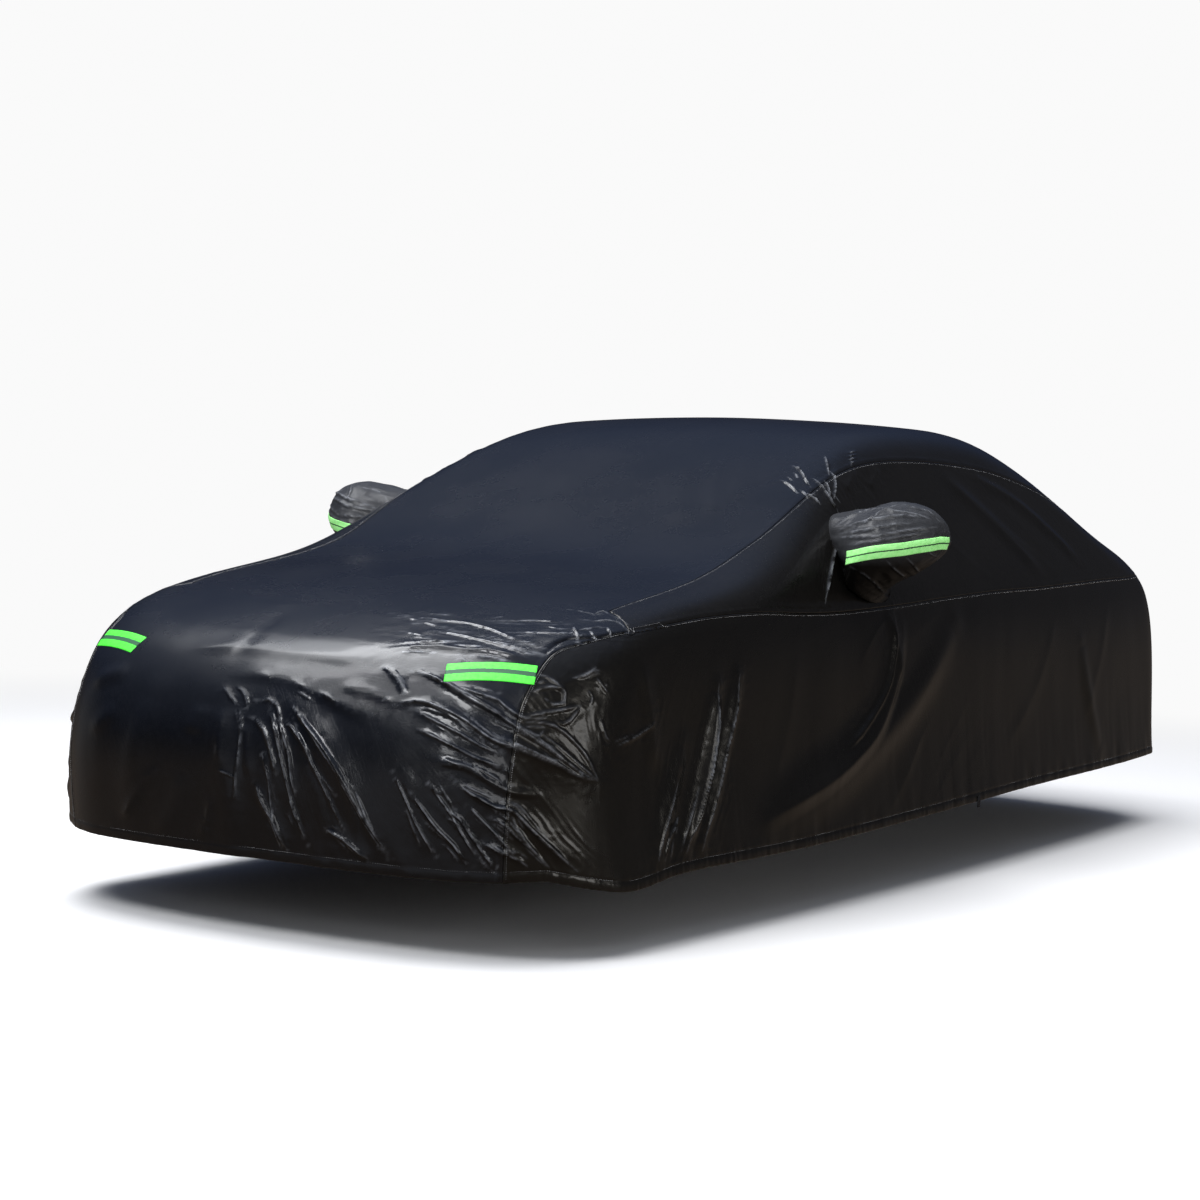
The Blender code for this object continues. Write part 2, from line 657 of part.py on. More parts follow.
def pocket_strip(left, shared):
    """A strip across the front of a pocket, from its root to its outer end.
    It lies on the pocket's facets, so it bends only where they do."""
    angles = np.linspace(0, 2 * math.pi, POCKET_ROUND, endpoint=False)
    rings = pocket_rings(angles, np.linspace(0, 1, POCKET_CELLS))[1:]
    rows = []
    for k, ring in enumerate(rings):
        above, middle, below = ring[1], ring[0], ring[-1]
        drop = np.interp(k / (len(rings) - 1), (0, 0.5, 1), POCKET_STRIP_DROP)
        reach = (POCKET_STRIP / 2 - drop, POCKET_STRIP / 2 + drop)
        rows.append([
            middle + (other - middle) * min(part / np.linalg.norm(other - middle), 1)
            for other, part in zip((above, below), reach)
        ])
        rows[-1].insert(1, middle)
    grid = np.array(rows)
    n = surface_normals(grid, False)
    away = grid - rings.mean(axis=1)[:, None]
    n *= np.sign((n * away).sum(-1, keepdims=True))
    low = grid + n * (SEAM_GAP + 0.0026)
    top = low + n * STRIP_THICK
    if not left:
        top, low = flip(top), flip(low)
    return cloth_solid(
        "strip_mirror_" + ("left" if left else "right"),
        top.reshape(-1, 3), low.reshape(-1, 3),
        grid_cells(len(grid) - 1, 2, turned=left), shared["strip_pale"], shared,
    )


def hem_tab(hem, shared):
    """A short webbing tab hanging outside the left hem."""
    x = TAB["x"]
    at = np.array([np.interp(-x, -hem[:, 0], hem[:, k]) for k in range(3)])
    bpy.ops.mesh.primitive_cube_add(size=1, location=(0, 0, 0))
    obj = bpy.context.object
    obj.name = obj.data.name = "hem_tab_left"
    obj.scale = (TAB["wide"], TAB["thick"], TAB["long"])
    bpy.ops.object.transform_apply(location=False, rotation=False, scale=True)
    bevel = obj.modifiers.new("soft edges", "BEVEL")
    bevel.width, bevel.segments = 0.0006, 1
    for other in list(obj.users_collection):
        other.objects.unlink(obj)
    shared["collection"].objects.link(obj)
    obj.parent = shared["datum"]
    obj.location = (x, at[1] + TAB["thick"] / 2 + 0.0035, at[2] + TAB["long"] / 2 - TAB["drop"])
    obj.data.materials.append(shared["webbing"])
    return obj


def material(name, colour, rough):
    m = bpy.data.materials.new(name)
    m.use_nodes = True
    shader = m.node_tree.nodes["Principled BSDF"]
    shader.inputs["Base Color"].default_value = (*colour, 1)
    shader.inputs["Roughness"].default_value = rough
    shader.inputs["Metallic"].default_value = 0.0
    return m


def main():
    for obj in list(bpy.data.objects):
        bpy.data.objects.remove(obj)
    collection = bpy.data.collections.new("car_cover")
    bpy.context.scene.collection.children.link(collection)
    datum = bpy.data.objects.new("cover_datum", None)
    collection.objects.link(datum)
    crown = settle(np.array([[CROWN_X, 0.0, 1.42]]))[0]
    _g, n = outward(crown[None])
    under = crown - n[0] * CLOTH
    datum.location = (-CROWN_X, 0.0, -under[2])
    shared = {"collection": collection, "datum": datum}
    for name, (colour, rough) in COLOURS.items():
        shared[name] = material(name, colour, rough)

    border, centre, marks = border_rows()
    belt = belt_line(border, marks)
    hem = hem_line(border, marks)
    centre_panel(border, centre, shared)
    for left in (True, False):
        upper_panel(border, marks, belt, left, shared)
        lower_panel(border, marks, belt, hem, left, shared)
        pocket(left, shared)
        nose_strip(left, shared)
        pocket_strip(left, shared)
    hem_tab(hem, shared)


main()
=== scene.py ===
"""Fitted car cover of dark coated cloth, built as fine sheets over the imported
model: a centre panel, upper and lower side panels, mirror pockets, reflective
strips, seam threads and a hem tab.

The shape tables are the same as the solids': x along the length from mid-length
towards the nose, y towards the left, z above the floor, in metres. SHIFT moves
them into the row frame. Lines on the cloth are given as they are seen from the
camera, in a frame of 1200 by 1200, and are laid on the form along the line of
sight, so they hold from every side."""

import math

import bpy
import numpy as np
from mathutils import Matrix, Vector
from mathutils.bvhtree import BVHTree


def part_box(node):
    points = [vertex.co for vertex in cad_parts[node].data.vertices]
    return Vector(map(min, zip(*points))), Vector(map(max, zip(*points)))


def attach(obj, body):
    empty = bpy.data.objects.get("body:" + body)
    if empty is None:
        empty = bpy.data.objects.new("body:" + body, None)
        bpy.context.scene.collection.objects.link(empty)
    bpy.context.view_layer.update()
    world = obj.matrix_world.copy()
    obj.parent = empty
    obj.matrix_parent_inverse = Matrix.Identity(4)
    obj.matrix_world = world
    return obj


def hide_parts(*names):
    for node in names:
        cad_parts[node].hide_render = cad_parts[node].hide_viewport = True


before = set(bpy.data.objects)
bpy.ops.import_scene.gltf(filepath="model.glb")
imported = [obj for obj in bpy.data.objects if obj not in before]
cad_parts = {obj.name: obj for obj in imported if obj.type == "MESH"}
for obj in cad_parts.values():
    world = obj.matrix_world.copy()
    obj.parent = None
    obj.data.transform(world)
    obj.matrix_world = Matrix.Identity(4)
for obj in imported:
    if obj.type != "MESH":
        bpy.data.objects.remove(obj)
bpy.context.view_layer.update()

# ------------------------------------------------------------ sizes and tables
CLOTH = 0.002
GAP = 0.0003
CROWN_X = -0.45
NOSE_X, TAIL_X, BELT_Z, LEAN_IN = 2.316, 2.502, 0.847, 0.55
TOP = (
    (-2.70, 0.986, 0.00), (-2.35, 1.049, 0.25), (-1.80, 1.094, 0.35), (-1.05, 1.565, 0.50),
    (-0.40, 1.490, 0.50), (0.20, 1.551, 0.50), (1.00, 0.978, 0.35), (1.70, 0.993, 0.50),
    (2.15, 0.806, 0.35), (2.50, 0.624, 0.00),
)
WIDE = ((-2.7, 0.841, 0.0), (-1.9, 0.916, 0.6), (-0.3, 0.945, 1.2), (1.2, 0.900, 0.9), (2.3, 0.811, 0.0))
BORDER = (
    ("nose", 2.120, 0.670, 0.205, 2.240, 0.205),
    ("nose", 2.145, 0.685, 0.330, 2.262, 0.340),
    ("nose", 2.140, 0.688, 0.470, 2.262, 0.480),
    ("nose", 2.110, 0.688, 0.600, 2.232, 0.600),
    ("nose", 2.060, 0.690, 0.680, 2.160, 0.705),
    ("nose", 1.960, 0.692, 0.755, 2.040, 0.770),
    ("nose", 1.860, 0.735, 0.785, 1.930, 0.805),
    ("nose", 1.738, 0.777, 0.809, 1.810, 0.840),
    ("tuck", 1.672, 0.676, 0.852, 1.740, 0.860),
    ("side", 1.480, 0.685, 0.886, 1.540, 0.900),
    ("side", 1.290, 0.678, 0.915, 1.340, 0.930),
    ("side", 1.126, 0.667, 0.946, 1.165, 0.965),
    ("side", 0.950, 0.662, 0.997, 0.980, 1.010),
    ("side", 0.826, 0.672, 1.046, 0.855, 1.060),
    ("side", 0.700, 0.677, 1.102, 0.730, 1.115),
    ("side", 0.506, 0.674, 1.180, 0.530, 1.215),
    ("side", 0.286, 0.665, 1.245, 0.300, 1.315),
    ("side", 0.010, 0.657, 1.283, 0.010, 1.387),
    ("side", -0.380, 0.655, 1.293, -0.380, 1.418),
    ("side", -0.820, 0.662, 1.280, -0.820, 1.413),
    ("side", -1.120, 0.677, 1.245, -1.130, 1.360),
    ("side", -1.340, 0.688, 1.200, -1.370, 1.275),
    ("side", -1.600, 0.700, 1.140, -1.640, 1.165),
    ("side", -1.900, 0.700, 1.050, -1.950, 1.080),
    ("side", -2.080, 0.690, 1.000, -2.160, 1.040),
    ("tuck", -2.180, 0.735, 0.930, -2.300, 0.990),
    ("tail", -2.270, 0.690, 0.820, -2.400, 0.880),
    ("tail", -2.330, 0.650, 0.660, -2.470, 0.680),
    ("tail", -2.345, 0.640, 0.480, -2.490, 0.480),
    ("tail", -2.330, 0.640, 0.262, -2.470, 0.262),
)
BELT = (
    (1.738, 0.809), (1.570, 0.826), (1.360, 0.842), (1.100, 0.848),
    (0.900, 0.842), (0.700, 0.840), (0.460, 0.846), (0.180, 0.857),
    (-0.080, 0.870), (-0.500, 0.886), (-0.930, 0.894), (-1.560, 0.912),
    (-1.900, 0.918), (-2.180, 0.930),
)
HEM = (
    (-2.45, 0.263, 0.0), (-1.80, 0.260, 0.3), (-0.65, 0.247, 0.3), (0.00, 0.226, 0.3),
    (0.95, 0.197, 0.3), (1.62, 0.203, 0.1), (1.84, 0.160, 0.1), (2.06, 0.203, 0.1), (2.40, 0.205, 0.0),
)
MOUTH = {"x": 0.415, "z": 0.990, "half_x": 0.145, "half_z": 0.130, "lean": 0.035}
POCKET = (
    (0.458, 0.868, 1.000, 0.178, 0.146, 0.126, 0.014),
    (0.478, 0.935, 1.019, 0.168, 0.141, 0.116, 0.030),
    (0.483, 1.000, 1.034, 0.138, 0.123, 0.097, 0.050),
    (0.479, 1.053, 1.045, 0.099, 0.095, 0.076, 0.070),
    (0.474, 1.085, 1.050, 0.066, 0.062, 0.053, 0.090),
    (0.470, 1.098, 1.052, 0.038, 0.033, 0.031, 0.100),
)
POCKET_TIP = (0.470, 1.102, 1.052)
POCKET_STRIP = 0.041
POCKET_STRIP_DROP = (0.003, 0.012, 0.004)
NOSE_STRIP = {"long": 0.226, "wide": 0.060, "rise": 0.055}
NOSE_STRIP_AT = {"left": (0.588, 0.700), "right": (0.595, 0.712)}

# the camera: focal length in pixels of the 1200 frame, turn, pitch, roll, place
LENS_PX, TURN, PITCH, ROLL = 2650.0, 3.66825, 0.0421, 0.04156
EYE = np.array([7.53466, 4.05821, 1.165])


# ------------------------------------------------------------ the draped form
def ramp(d, r):
    return 0.5 * (d + np.sqrt(d * d + r * r))


def table_line(x, rows):
    slopes = [(b[1] - a[1]) / (b[0] - a[0]) for a, b in zip(rows, rows[1:])]
    out = rows[0][1] + slopes[0] * (x - rows[0][0])
    for row, before, after in zip(rows[1:], slopes, slopes[1:]):
        out = out + (after - before) * ramp(x - row[0], row[2])
    return out


def round_max(a, b, k):
    h = np.maximum(k - np.abs(a - b), 0) / k
    return np.maximum(a, b) + 0.25 * k * h * h


def step(x, at, over):
    return 0.5 * (1 - np.tanh((x - at) / over))


def form(p):
    x, z = p[..., 0], p[..., 2]
    y = np.sqrt(p[..., 1] ** 2 + 1e-6)
    crown = 0.033 + 0.018 * step(x, 0.6, 0.4)
    top = z - table_line(x, TOP) + crown * (y / 0.8) ** 2.2
    side = y - (table_line(x, WIDE) - LEAN_IN * ramp(z - BELT_Z, 0.143) + 0.148 * ramp(0.45 - z, 0.15))
    nose = x - (NOSE_X - 0.139 * (y / 0.8) ** 2.3 - 0.705 * ramp(z - 0.55, 0.15) - 0.25 * ramp(0.45 - z, 0.10))
    tail = -x - (TAIL_X - 0.159 * (y / 0.8) ** 2.2 - 0.70 * ramp(z - 0.85, 0.20) - 0.25 * ramp(0.50 - z, 0.10))
    walls = round_max(round_max(side, nose, 0.293), tail, 0.239)
    edge = 0.090 - 0.005 * step(x, 1.6, 0.25) + 0.086 * step(x, -2.0, 0.25)
    return round_max(walls, top, edge)


def outward(p):
    """Gradient and unit normal of the form."""
    h, f0 = 3e-4, form(p)
    g = np.stack([(form(p + h * np.eye(3)[k]) - f0) / h for k in range(3)], axis=-1)
    return g, g / np.linalg.norm(g, axis=-1, keepdims=True)


def settle(p, steps=7):
    p = np.array(p, float)
    for _ in range(steps):
        g, _n = outward(p)
        p = p - (form(p) / (g * g).sum(-1))[..., None] * g
    return p


def settle_sideways(p):
    p = np.array(p, float)
    p[..., 1] = 1.3
    for _ in range(30):
        g, _n = outward(p)
        p[..., 1] -= form(p) / np.maximum(g[..., 1], 0.25)
    return p


_crown = settle(np.array([[CROWN_X, 0.0, 1.42]]), 12)[0]
_under = _crown - outward(_crown[None])[1][0] * CLOTH
SHIFT = np.array([-CROWN_X, 0.0, -_under[2]])


# ------------------------------------------------------------ the camera's eye
def eye_axes():
    f = np.array([math.cos(TURN) * math.cos(PITCH), math.sin(TURN) * math.cos(PITCH), -math.sin(PITCH)])
    r = np.array([math.sin(TURN), -math.cos(TURN), 0.0])
    u = np.cross(r, f)
    c, s = math.cos(ROLL), math.sin(ROLL)
    return c * r + s * u, -s * r + c * u, f


RIGHT, UP, FORWARD = eye_axes()


def sight(pixels):
    px = np.atleast_2d(np.asarray(pixels, float))
    d = FORWARD + ((px[:, :1] - 600) * RIGHT - (px[:, 1:] - 600) * UP) / LENS_PX
    return d / np.linalg.norm(d, axis=1, keepdims=True)


def seen(p):
    """Where points of the tables' frame show in the 1200 frame."""
    d = np.asarray(p, float) - EYE
    z = d @ FORWARD
    return np.stack([600 + LENS_PX * (d @ RIGHT) / z, 600 - LENS_PX * (d @ UP) / z], -1)


def on_form(pixels):
    """Points of the form along the lines of sight; a line that misses it gives
    the nearest point that it passes."""
    d = sight(pixels)
    ts = np.linspace(4.5, 12.5, 801)
    line = EYE + ts[None, :, None] * d[:, None, :]
    f = form(line)
    out = []
    for k in range(len(d)):
        inside = f[k] <= 0
        if not inside.any():
            out.append(settle(line[k, f[k].argmin()][None])[0])
            continue
        j = int(inside.argmax())
        a, b = ts[j - 1], ts[j]
        for _ in range(14):
            m = 0.5 * (a + b)
            if form((EYE + m * d[k])[None])[0] <= 0:
                b = m
            else:
                a = m
        out.append(EYE + 0.5 * (a + b) * d[k])
    return np.array(out)


# ------------------------------------------------------------ camera and stage
def make_camera():
    data = bpy.data.cameras.new("view_camera")
    data.sensor_width = 36.0
    data.lens = 36.0 * LENS_PX / 1200.0
    data.clip_end = 200.0
    obj = bpy.data.objects.new("view_camera", data)
    bpy.context.scene.collection.objects.link(obj)
    m = np.eye(4)
    m[:3, 0], m[:3, 1], m[:3, 2], m[:3, 3] = RIGHT, UP, -FORWARD, EYE + SHIFT
    obj.matrix_world = Matrix(m.tolist())
    bpy.context.scene.camera = obj


def node_tree(owner):
    owner.use_nodes = True
    tree = owner.node_tree
    tree.nodes.clear()
    return tree


def add(tree, kind, inputs=(), **settings):
    node = tree.nodes.new(kind)
    for key, value in settings.items():
        setattr(node, key, value)
    for key, value in dict(inputs).items():
        if isinstance(value, bpy.types.NodeSocket):
            tree.links.new(value, node.inputs[key])
        else:
            node.inputs[key].default_value = value
    return node


def colour_ramp(tree, value, stops, smooth=False):
    node = add(tree, "ShaderNodeValToRGB", {"Fac": value})
    node.color_ramp.interpolation = "EASE" if smooth else "LINEAR"
    elements = node.color_ramp.elements
    while len(elements) < len(stops):
        elements.new(0.5)
    for element, (at, colour) in zip(elements, stops):
        element.position = at
        element.color = (*colour, 1) if len(colour) == 3 else colour
    return node.outputs["Color"]


SKY = (
    # height of the direction from -1 (down) to 1 (up), mapped to 0..1: colour
    (0.00, (0.110, 0.086, 0.067)),
    (0.38, (0.140, 0.110, 0.088)),
    (0.46, (0.084, 0.070, 0.060)),
    (0.52, (0.038, 0.035, 0.036)),
    (0.57, (0.018, 0.023, 0.042)),
    (0.68, (0.031, 0.044, 0.084)),
    (0.86, (0.112, 0.146, 0.236)),
    (1.00, (0.180, 0.226, 0.345)),
)
# the same towards the cover's right, towards its left and rear, and straight
# ahead of its nose
SKY_RIGHT = (
    (0.00, (0.110, 0.094, 0.082)),
    (0.38, (0.160, 0.140, 0.128)),
    (0.46, (0.150, 0.140, 0.136)),
    (0.52, (0.135, 0.134, 0.140)),
    (0.57, (0.100, 0.104, 0.118)),
    (0.68, (0.044, 0.056, 0.090)),
    (0.86, (0.112, 0.146, 0.236)),
    (1.00, (0.180, 0.226, 0.345)),
)
SKY_LEFT = (
    (0.00, (0.110, 0.090, 0.075)),
    (0.38, (0.150, 0.120, 0.097)),
    (0.46, (0.108, 0.090, 0.076)),
    (0.52, (0.058, 0.056, 0.060)),
    (0.57, (0.038, 0.038, 0.044)),
    (0.68, (0.040, 0.041, 0.048)),
    (0.80, (0.054, 0.059, 0.076)),
    (0.90, (0.104, 0.132, 0.206)),
    (1.00, (0.180, 0.226, 0.345)),
)
SKY_AHEAD = (
    (0.00, (0.160, 0.150, 0.148)),
    (0.38, (0.260, 0.255, 0.268)),
    (0.46, (0.240, 0.240, 0.264)),
    (0.52, (0.150, 0.152, 0.172)),
    (0.57, (0.062, 0.066, 0.084)),
    (0.68, (0.044, 0.054, 0.084)),
    (0.86, (0.112, 0.146, 0.236)),
    (1.00, (0.180, 0.226, 0.345)),
)
PALE = (0.955, 0.955, 0.955)


def make_world():
    world = bpy.data.worlds.new("studio")
    bpy.context.scene.world = world
    tree = node_tree(world)
    coord = add(tree, "ShaderNodeTexCoord")
    split = add(tree, "ShaderNodeSeparateXYZ", {"Vector": coord.outputs["Generated"]})
    level = add(tree, "ShaderNodeMapRange", {"Value": split.outputs["Z"], "From Min": -1.0, "From Max": 1.0})
    sky = colour_ramp(tree, level.outputs["Result"], SKY)
    for axis, start, full, other in (("Y", -0.93, -1.0, SKY_RIGHT), ("Y", -0.11, 0.13, SKY_LEFT), ("X", 0.76, 0.92, SKY_AHEAD)):
        share = add(tree, "ShaderNodeMapRange", {"Value": split.outputs[axis], "From Min": start, "From Max": full})
        other = colour_ramp(tree, level.outputs["Result"], other)
        sky = add(tree, "ShaderNodeMix", {0: share.outputs["Result"], 6: sky, 7: other}, data_type="RGBA").outputs[2]
    path = add(tree, "ShaderNodeLightPath")
    light = add(tree, "ShaderNodeBackground", {"Color": sky, "Strength": 1.0})
    pale = add(tree, "ShaderNodeBackground", {"Color": (*PALE, 1), "Strength": 1.0})
    mix = add(tree, "ShaderNodeMixShader", {0: path.outputs["Is Camera Ray"], 1: light.outputs[0], 2: pale.outputs[0]})
    out = add(tree, "ShaderNodeOutputWorld", {"Surface": mix.outputs[0]})
    return out


def soft_light(name, place, aim, size, power, colour=(1, 1, 1)):
    data = bpy.data.lights.new(name, "AREA")
    data.shape = "RECTANGLE"
    data.size, data.size_y = size
    data.energy = power
    data.color = colour
    obj = bpy.data.objects.new(name, data)
    bpy.context.scene.collection.objects.link(obj)
    place, aim = Vector(place), Vector(aim)
    obj.location = place
    obj.rotation_mode = "QUATERNION"
    obj.rotation_quaternion = (aim - place).to_track_quat("-Z", "Y")
    obj.visible_camera = False
    return obj


def make_stage():
    make_world()
    floor_z = SHIFT[2]
    mesh = bpy.data.meshes.new("floor")
    n, r = 96, 90.0
    ring = [(r * math.cos(2 * math.pi * k / n), r * math.sin(2 * math.pi * k / n), 0) for k in range(n)]
    mesh.from_pydata(ring, [], [list(range(n))])
    floor = bpy.data.objects.new("floor", mesh)
    bpy.context.scene.collection.objects.link(floor)
    floor.location = (0.3, 0, floor_z)
    mat = bpy.data.materials.new("floor_pale")
    tree = node_tree(mat)
    noise = add(tree, "ShaderNodeTexNoise", {"Scale": 0.4, "Detail": 3.0})
    tone = colour_ramp(tree, noise.outputs["Fac"], ((0.3, (0.88, 0.875, 0.865)), (0.7, (0.91, 0.905, 0.895))))
    shader = add(tree, "ShaderNodeBsdfPrincipled", {"Base Color": tone, "Roughness": 0.9, "Specular IOR Level": 0.0})
    # far off, the floor runs into the backdrop
    at = add(tree, "ShaderNodeTexCoord")
    far = add(tree, "ShaderNodeVectorMath", {0: at.outputs["Object"]}, operation="LENGTH")
    share = add(tree, "ShaderNodeMapRange", {"Value": far.outputs["Value"], "From Min": 2.6, "From Max": 7.5}, interpolation_type="SMOOTHSTEP")
    pale = add(tree, "ShaderNodeEmission", {"Color": (*PALE, 1), "Strength": 1.0})
    both = add(tree, "ShaderNodeMixShader", {0: share.outputs["Result"], 1: shader.outputs[0], 2: pale.outputs[0]})
    add(tree, "ShaderNodeOutputMaterial", {"Surface": both.outputs[0]})
    mesh.materials.append(mat)
    floor.visible_glossy = False
    floor.visible_diffuse = False
    soft_light("key_top", (1.8, -1.9, 3.6), (2.0, 0.1, -0.7), (3.4, 2.3), 102, (0.97, 0.98, 1.0))
    soft_light("key_front", (4.3, -1.6, 3.2), (2.2, 0.2, -0.7), (3.0, 1.8), 24, (0.97, 0.98, 1.0))
    soft_light("sheen_top", (1.2, -2.9, 3.3), (2.0, 0.0, -0.7), (2.2, 1.7), 26, (0.95, 0.97, 1.0))
    soft_light("front_high", (5.6, 0.1, 2.9), (2.4, 0.2, -0.8), (2.2, 1.5), 118, (0.97, 0.98, 1.0))
    soft_light("front_low", (7.1, 0.75, 0.45), (2.4, 0.2, -0.9), (0.5, 1.9), 16, (0.97, 0.98, 1.0))
    soft_light("front_left", (5.3, 3.35, 2.0), (2.2, 0.6, -0.8), (1.6, 1.2), 20, (0.97, 0.98, 1.0))
    soft_light("corner_low", (5.5, 3.8, 0.3), (2.3, 0.4, -0.9), (2.2, 1.5), 23, (0.97, 0.98, 1.0))
    soft_light("fill_left", (1.9, 7.0, 0.0), (0.8, 0.8, -0.8), (3.4, 1.6), 62, (0.97, 0.98, 1.0))
    floor_glow = soft_light("floor_light", (0.3, 0.0, 7.5), (0.3, 0.0, -1.0), (9.0, 9.0), 1080, (1.0, 1.0, 1.0))
    floor_glow.visible_glossy = False
    scene = bpy.context.scene
    scene.view_settings.view_transform = "Standard"
    scene.view_settings.look = "None"


make_camera()
make_stage()


# ------------------------------------------------------------ noise
def hash01(i, j, k, seed):
    n = (i * 73856093) ^ (j * 19349663) ^ (k * 83492791) ^ (seed * 2654435761)
    n = n & 0xFFFFFFFF
    n = (n ^ (n >> 13)) * 1274126177 & 0xFFFFFFFF
    n = (n ^ (n >> 16)) * 2246822519 & 0xFFFFFFFF
    return ((n ^ (n >> 15)) & 0xFFFFFF) / float(0xFFFFFF)


def noise(p, seed=0):
    """Smooth value noise in -1..1 at points p (..., 3)."""
    base = np.floor(p)
    f = p - base
    base = base.astype(np.int64)
    w = f * f * f * (f * (f * 6 - 15) + 10)
    out = np.zeros(p.shape[:-1])
    for a in (0, 1):
        wx = w[..., 0] if a else 1 - w[..., 0]
        for b in (0, 1):
            wy = w[..., 1] if b else 1 - w[..., 1]
            for c in (0, 1):
                wz = w[..., 2] if c else 1 - w[..., 2]
                out += wx * wy * wz * hash01(base[..., 0] + a, base[..., 1] + b, base[..., 2] + c, seed)
    return 2 * out - 1


def cloud(p, seed=0, octaves=3):
    out, size = 0.0, 1.0
    for k in range(octaves):
        out = out + size * noise(p * 2.03**k + 17.3 * k, seed + k)
        size *= 0.5
    return out / 1.75


# ------------------------------------------------------------ creases
def smooth_path(points, share):
    p = np.array(points, float)
    p = np.vstack([2 * p[0] - p[1], p, 2 * p[-1] - p[-2]])
    fine = []
    for i in range(1, len(p) - 2):
        t = np.linspace(0, 1, 12, endpoint=False)[:, None]
        fine.append(0.5 * (
            2 * p[i] + t * (p[i + 1] - p[i - 1])
            + t**2 * (2 * p[i - 1] - 5 * p[i] + 4 * p[i + 1] - p[i + 2])
            + t**3 * (3 * p[i] - p[i - 1] - 3 * p[i + 1] + p[i + 2])
        ))
    fine = np.vstack([*fine, p[-2][None]])
    size = np.linalg.norm(np.diff(fine, axis=0), axis=1)
    length = np.concatenate([[0], np.cumsum(size)])
    at = np.asarray(share) * length[-1]
    return np.stack([np.interp(at, length, fine[:, k]) for k in range(p.shape[1])], 1)


class Crease:
    """A ridge (height above 0) or a groove (below 0) along a line on the form.
    left and right are its widths to either side of the way it runs, seen from
    outside; power shapes its flanks, soft rounds its top."""

    def __init__(self, points, left, right, high, power=1.6, soft=0.0015, fade=(0.25, 0.25)):
        self.points = np.asarray(points, float)
        self.left, self.right, self.high = left, right, high
        self.power, self.soft, self.fade = power, soft, fade
        # how strongly its top is painted pale: partly the coating's wear, partly a painted highlight
        self.worn_and_highlight = 1.0

    def add_to(self, p, n, out, scale=1.0):
        """p and n are (N, 3); out gets the height added."""
        line = self.points
        reach = max(self.left, self.right) + 0.002
        lo, hi = line.min(0) - reach, line.max(0) + reach
        near = np.nonzero(((p >= lo) & (p <= hi)).all(1))[0]
        if not len(near):
            return
        q, qn = p[near], n[near]
        best = np.full(len(near), 9.0)
        side = np.zeros(len(near))
        along = np.zeros(len(near))
        size = np.linalg.norm(np.diff(line, axis=0), axis=1)
        at = np.concatenate([[0], np.cumsum(size)])
        for k in range(len(line) - 1):
            a, ab = line[k], line[k + 1] - line[k]
            t = np.clip(((q - a) @ ab) / max(ab @ ab, 1e-12), 0, 1)
            off = q - a - t[:, None] * ab
            d = np.linalg.norm(off, axis=1)
            closer = d < best
            best[closer] = d[closer]
            across = np.cross(qn[closer], ab)
            side[closer] = (off[closer] * across).sum(1)
            along[closer] = (at[k] + t[closer] * size[k]) / at[-1]
        wide = np.where(side > 0, self.left, self.right)
        d = (np.sqrt(best**2 + self.soft**2) - self.soft) / wide
        shape = np.clip(1 - d, 0, 1) ** self.power
        f0, f1 = self.fade
        ends = np.clip(along / max(f0, 1e-3), 0, 1) * np.clip((1 - along) / max(f1, 1e-3), 0, 1)
        ends = ends * ends * (3 - 2 * ends)
        wide_ends = np.sqrt(ends)
        out[near] += scale * self.high * ends * shape * (0.4 + 0.6 * wide_ends)


    def crest_on(self, p, n, out):
        """How near each point is to the crease's sharp top, 0 to 1; the cloth's material paints these places pale,
        partly for the coating's wear and partly as a painted highlight.
        """
        if self.high <= 0 or max(self.left, self.right) > 0.014 or self.soft > 0.0013:
            return
        line = self.points
        lo, hi = line.min(0) - 0.016, line.max(0) + 0.016
        near = np.nonzero(((p >= lo) & (p <= hi)).all(1))[0]
        if not len(near):
            return
        q, qn = p[near], n[near]
        size = np.linalg.norm(np.diff(line, axis=0), axis=1)
        at = np.concatenate([[0], np.cumsum(size)])
        best, along = np.full(len(near), 9.0), np.zeros(len(near))
        for k in range(len(line) - 1):
            a, ab = line[k], line[k + 1] - line[k]
            t = np.clip(((q - a) @ ab) / max(ab @ ab, 1e-12), 0, 1)
            off = q - a - t[:, None] * ab
            off = off - (off * qn).sum(1)[:, None] * qn
            d = np.linalg.norm(off, axis=1)
            closer = d < best
            best[closer] = d[closer]
            along[closer] = (at[k] + t[closer] * size[k]) / at[-1]
        ends = np.clip(along / 0.3, 0, 1) * np.clip((1 - along) / 0.25, 0, 1)
        sharp = min(self.worn_and_highlight * self.high / 0.0080, 1.0)
        out[near] = np.maximum(out[near], sharp * np.sqrt(ends) * np.exp(-(best / 0.0020) ** 2))


def flip(points):
    return points * np.array([1, -1, 1])


def line_on(pixels, count=None):
    """A smooth line on the form through places seen from the camera."""
    pts = np.asarray(pixels, float)
    size = np.linalg.norm(np.diff(pts, axis=0), axis=1).sum()
    count = count or int(np.clip(size / 9, 5, 30))
    return on_form(smooth_path(pts, np.linspace(0, 1, count)))


def mm(v):
    return v / 1000.0


